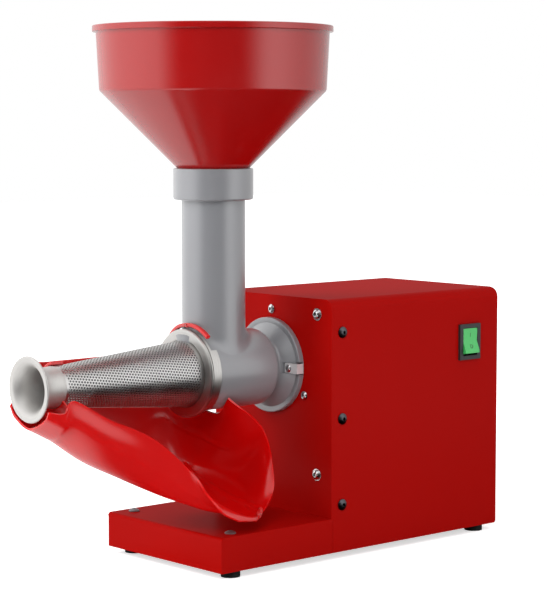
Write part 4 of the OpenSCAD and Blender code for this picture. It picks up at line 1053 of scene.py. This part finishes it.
class PRESS_OT_stage(PressOperator, bpy.types.Operator):
    """Floor, soft lights and the camera"""

    bl_idname = "press.stage"
    bl_label = "Stage"

    # Each lamp's name, its place, the point it faces, its two sides and its power in watts
    lamps = (
        ("Left softbox", (-0.9, -1.5, 1.0), (0, -0.1, 0.22), (0.9, 1.6), 27.0),
        ("Right softbox", (2.0, 0.3, 0.9), (0, 0, 0.2), (1.0, 1.6), 3.5),
        ("Front softbox", (1.1, -1.1, 1.1), (0, -0.12, 0.12), (0.8, 0.8), 12.0),
        ("Top softbox", (0.2, 0.2, 2.1), (0, 0, 0.2), (1.4, 1.4), 8.0),
    )

    def build(self, sizes):
        self.floor()
        self.world()
        for lamp in self.lamps:
            self.lamp(*lamp)
        self.camera()

    def floor(self):
        """A floor that is white to the camera, and to mirrors the studio, dark near the object."""
        begin()
        bpy.ops.mesh.primitive_grid_add(x_subdivisions=8, y_subdivisions=8, size=12)
        obj = bpy.context.object
        obj.name = "floor"
        material = bpy.data.materials.new("White floor")
        w = emptied(material)
        path = w.add("ShaderNodeLightPath").outputs
        place = w.add("ShaderNodeTexCoord").outputs["Object"]
        reach = w.vector("LENGTH", i0=place)["Value"]
        far = w.vector("NORMALIZE", i0=place)[0]
        # Close by, only the floor at the left of the object is bright in mirrors
        left = w.ramp(w.dot(place, TO_RIGHT), -0.17, -0.11, 1.2, 0)
        beside = w.times(left, w.ramp(reach, 0.5, 0.9, 1, 0))
        distant = w.times(self.studio(w, far), w.ramp(reach, 0.5, 1, 0, 1))
        mirrored = w.math("ADD", distant, beside)
        white = w.times(path["Is Camera Ray"], w.ramp(reach, 0.35, 1.2, 0.62, 1))
        diffuse = w.add("ShaderNodeBsdfDiffuse", Color=(0.9, 0.9, 0.9, 1))
        glow = w.add("ShaderNodeEmission", Color=WHITE, Strength=white)
        seen = w.add("ShaderNodeAddShader", i0=diffuse, i1=glow)
        mirror = w.add("ShaderNodeEmission", Color=WHITE, Strength=mirrored)
        shown = w.add("ShaderNodeMixShader", i0=self.mirror_ray(w, path), i1=seen, i2=mirror)
        w.add("ShaderNodeOutputMaterial", i0=shown)
        obj.data.materials.append(material)

    def mirror_ray(self, w, path):
        return w.math("MAXIMUM", path["Is Glossy Ray"], path["Is Transmission Ray"])

    def studio(self, w, direction):
        """What a mirror sees that way: softboxes at both sides, white behind, dark round the camera."""
        toward = w.dot(direction, TO_CAMERA)
        across = w.dot(direction, TO_RIGHT)
        left = w.ramp(toward, -1, -0.7, 1, 1.4)
        right = w.ramp(toward, -0.3, 0.45, 0.85, 1.55)
        side = w.blend(w.ramp(across, -0.15, 0.15, 0, 1), left, right)
        return w.math("MINIMUM", side, w.ramp(toward, 0.52, 0.88, 1.55, 0.03))

    def world(self):
        """White to the camera, the studio to mirrors, and an even grey light to the rest."""
        even_light = 0.5
        world = bpy.data.worlds.new("Studio")
        bpy.context.scene.world = world
        w = emptied(world)
        path = w.add("ShaderNodeLightPath").outputs
        direction = w.add("ShaderNodeTexCoord").outputs["Generated"]
        up = w.dot(direction, (0, 0, 1))
        side = w.times(self.studio(w, direction), w.ramp(up, 0.3, 0.85, 1, 0.55))
        side = w.math("ADD", side, w.ramp(up, 0.3, 0.6, 0, 0.3))
        strength = w.blend(self.mirror_ray(w, path), even_light, side)
        strength = w.math("MAXIMUM", strength, path["Is Camera Ray"])
        back = w.add("ShaderNodeBackground", Color=WHITE, Strength=strength)
        w.add("ShaderNodeOutputWorld", i0=back)

    def lamp(self, name, place, target, size, power):
        data = bpy.data.lights.new(name, "AREA")
        data.shape = "RECTANGLE"
        data.size, data.size_y = size
        data.energy = power
        obj = bpy.data.objects.new(name, data)
        obj.location = place
        obj.rotation_euler = (Vector(target) - Vector(place)).to_track_quat("-Z", "Y").to_euler()
        obj.visible_glossy = False
        bpy.context.scene.collection.objects.link(obj)

    def camera(self):
        data = bpy.data.cameras.new("Photograph")
        data.lens = 124.8
        data.sensor_width = 36
        data.clip_end = 50
        obj = bpy.data.objects.new("Photograph", data)
        obj.location = mm(1322.5, -1173.5, 371.5)
        obj.rotation_euler = (radians(90 - VIEW_DIP), 0, radians(VIEW_TURN))
        scene = bpy.context.scene
        scene.collection.objects.link(obj)
        scene.camera = obj
        scene.view_settings.view_transform = "Standard"


class PRESS_PT_panel(bpy.types.Panel):
    """The steps that dress the press"""

    bl_idname = "PRESS_PT_panel"
    bl_label = "Tomato press"
    bl_space_type = "VIEW_3D"
    bl_region_type = "UI"
    bl_category = "Tomato press"

    def draw(self, context):
        column = self.layout.column()
        for group in (context.scene.press_colours, context.scene.press_sizes):
            for key in group.__annotations__:
                column.prop(group, key)
        for operator in STEPS:
            column.operator(operator.bl_idname)


STEPS = (
    PRESS_OT_stage, PRESS_OT_housing, PRESS_OT_head, PRESS_OT_funnel, PRESS_OT_outlet, PRESS_OT_strainer,
    PRESS_OT_tray, PRESS_OT_switch, PRESS_OT_fasteners, PRESS_OT_drive,
)
CLASSES = (PressColours, PressSizes, *STEPS, PRESS_PT_panel)


def register():
    for cls in CLASSES:
        bpy.utils.register_class(cls)
    bpy.types.Scene.press_colours = bpy.props.PointerProperty(type=PressColours)
    bpy.types.Scene.press_sizes = bpy.props.PointerProperty(type=PressSizes)


def unregister():
    del bpy.types.Scene.press_colours
    del bpy.types.Scene.press_sizes
    for cls in reversed(CLASSES):
        bpy.utils.unregister_class(cls)


def main():
    register()
    make_finishes(bpy.context.scene.press_colours)
    for operator in STEPS:
        getattr(bpy.ops.press, operator.bl_idname.split(".")[1])()


if __name__ == "__main__":
    main()
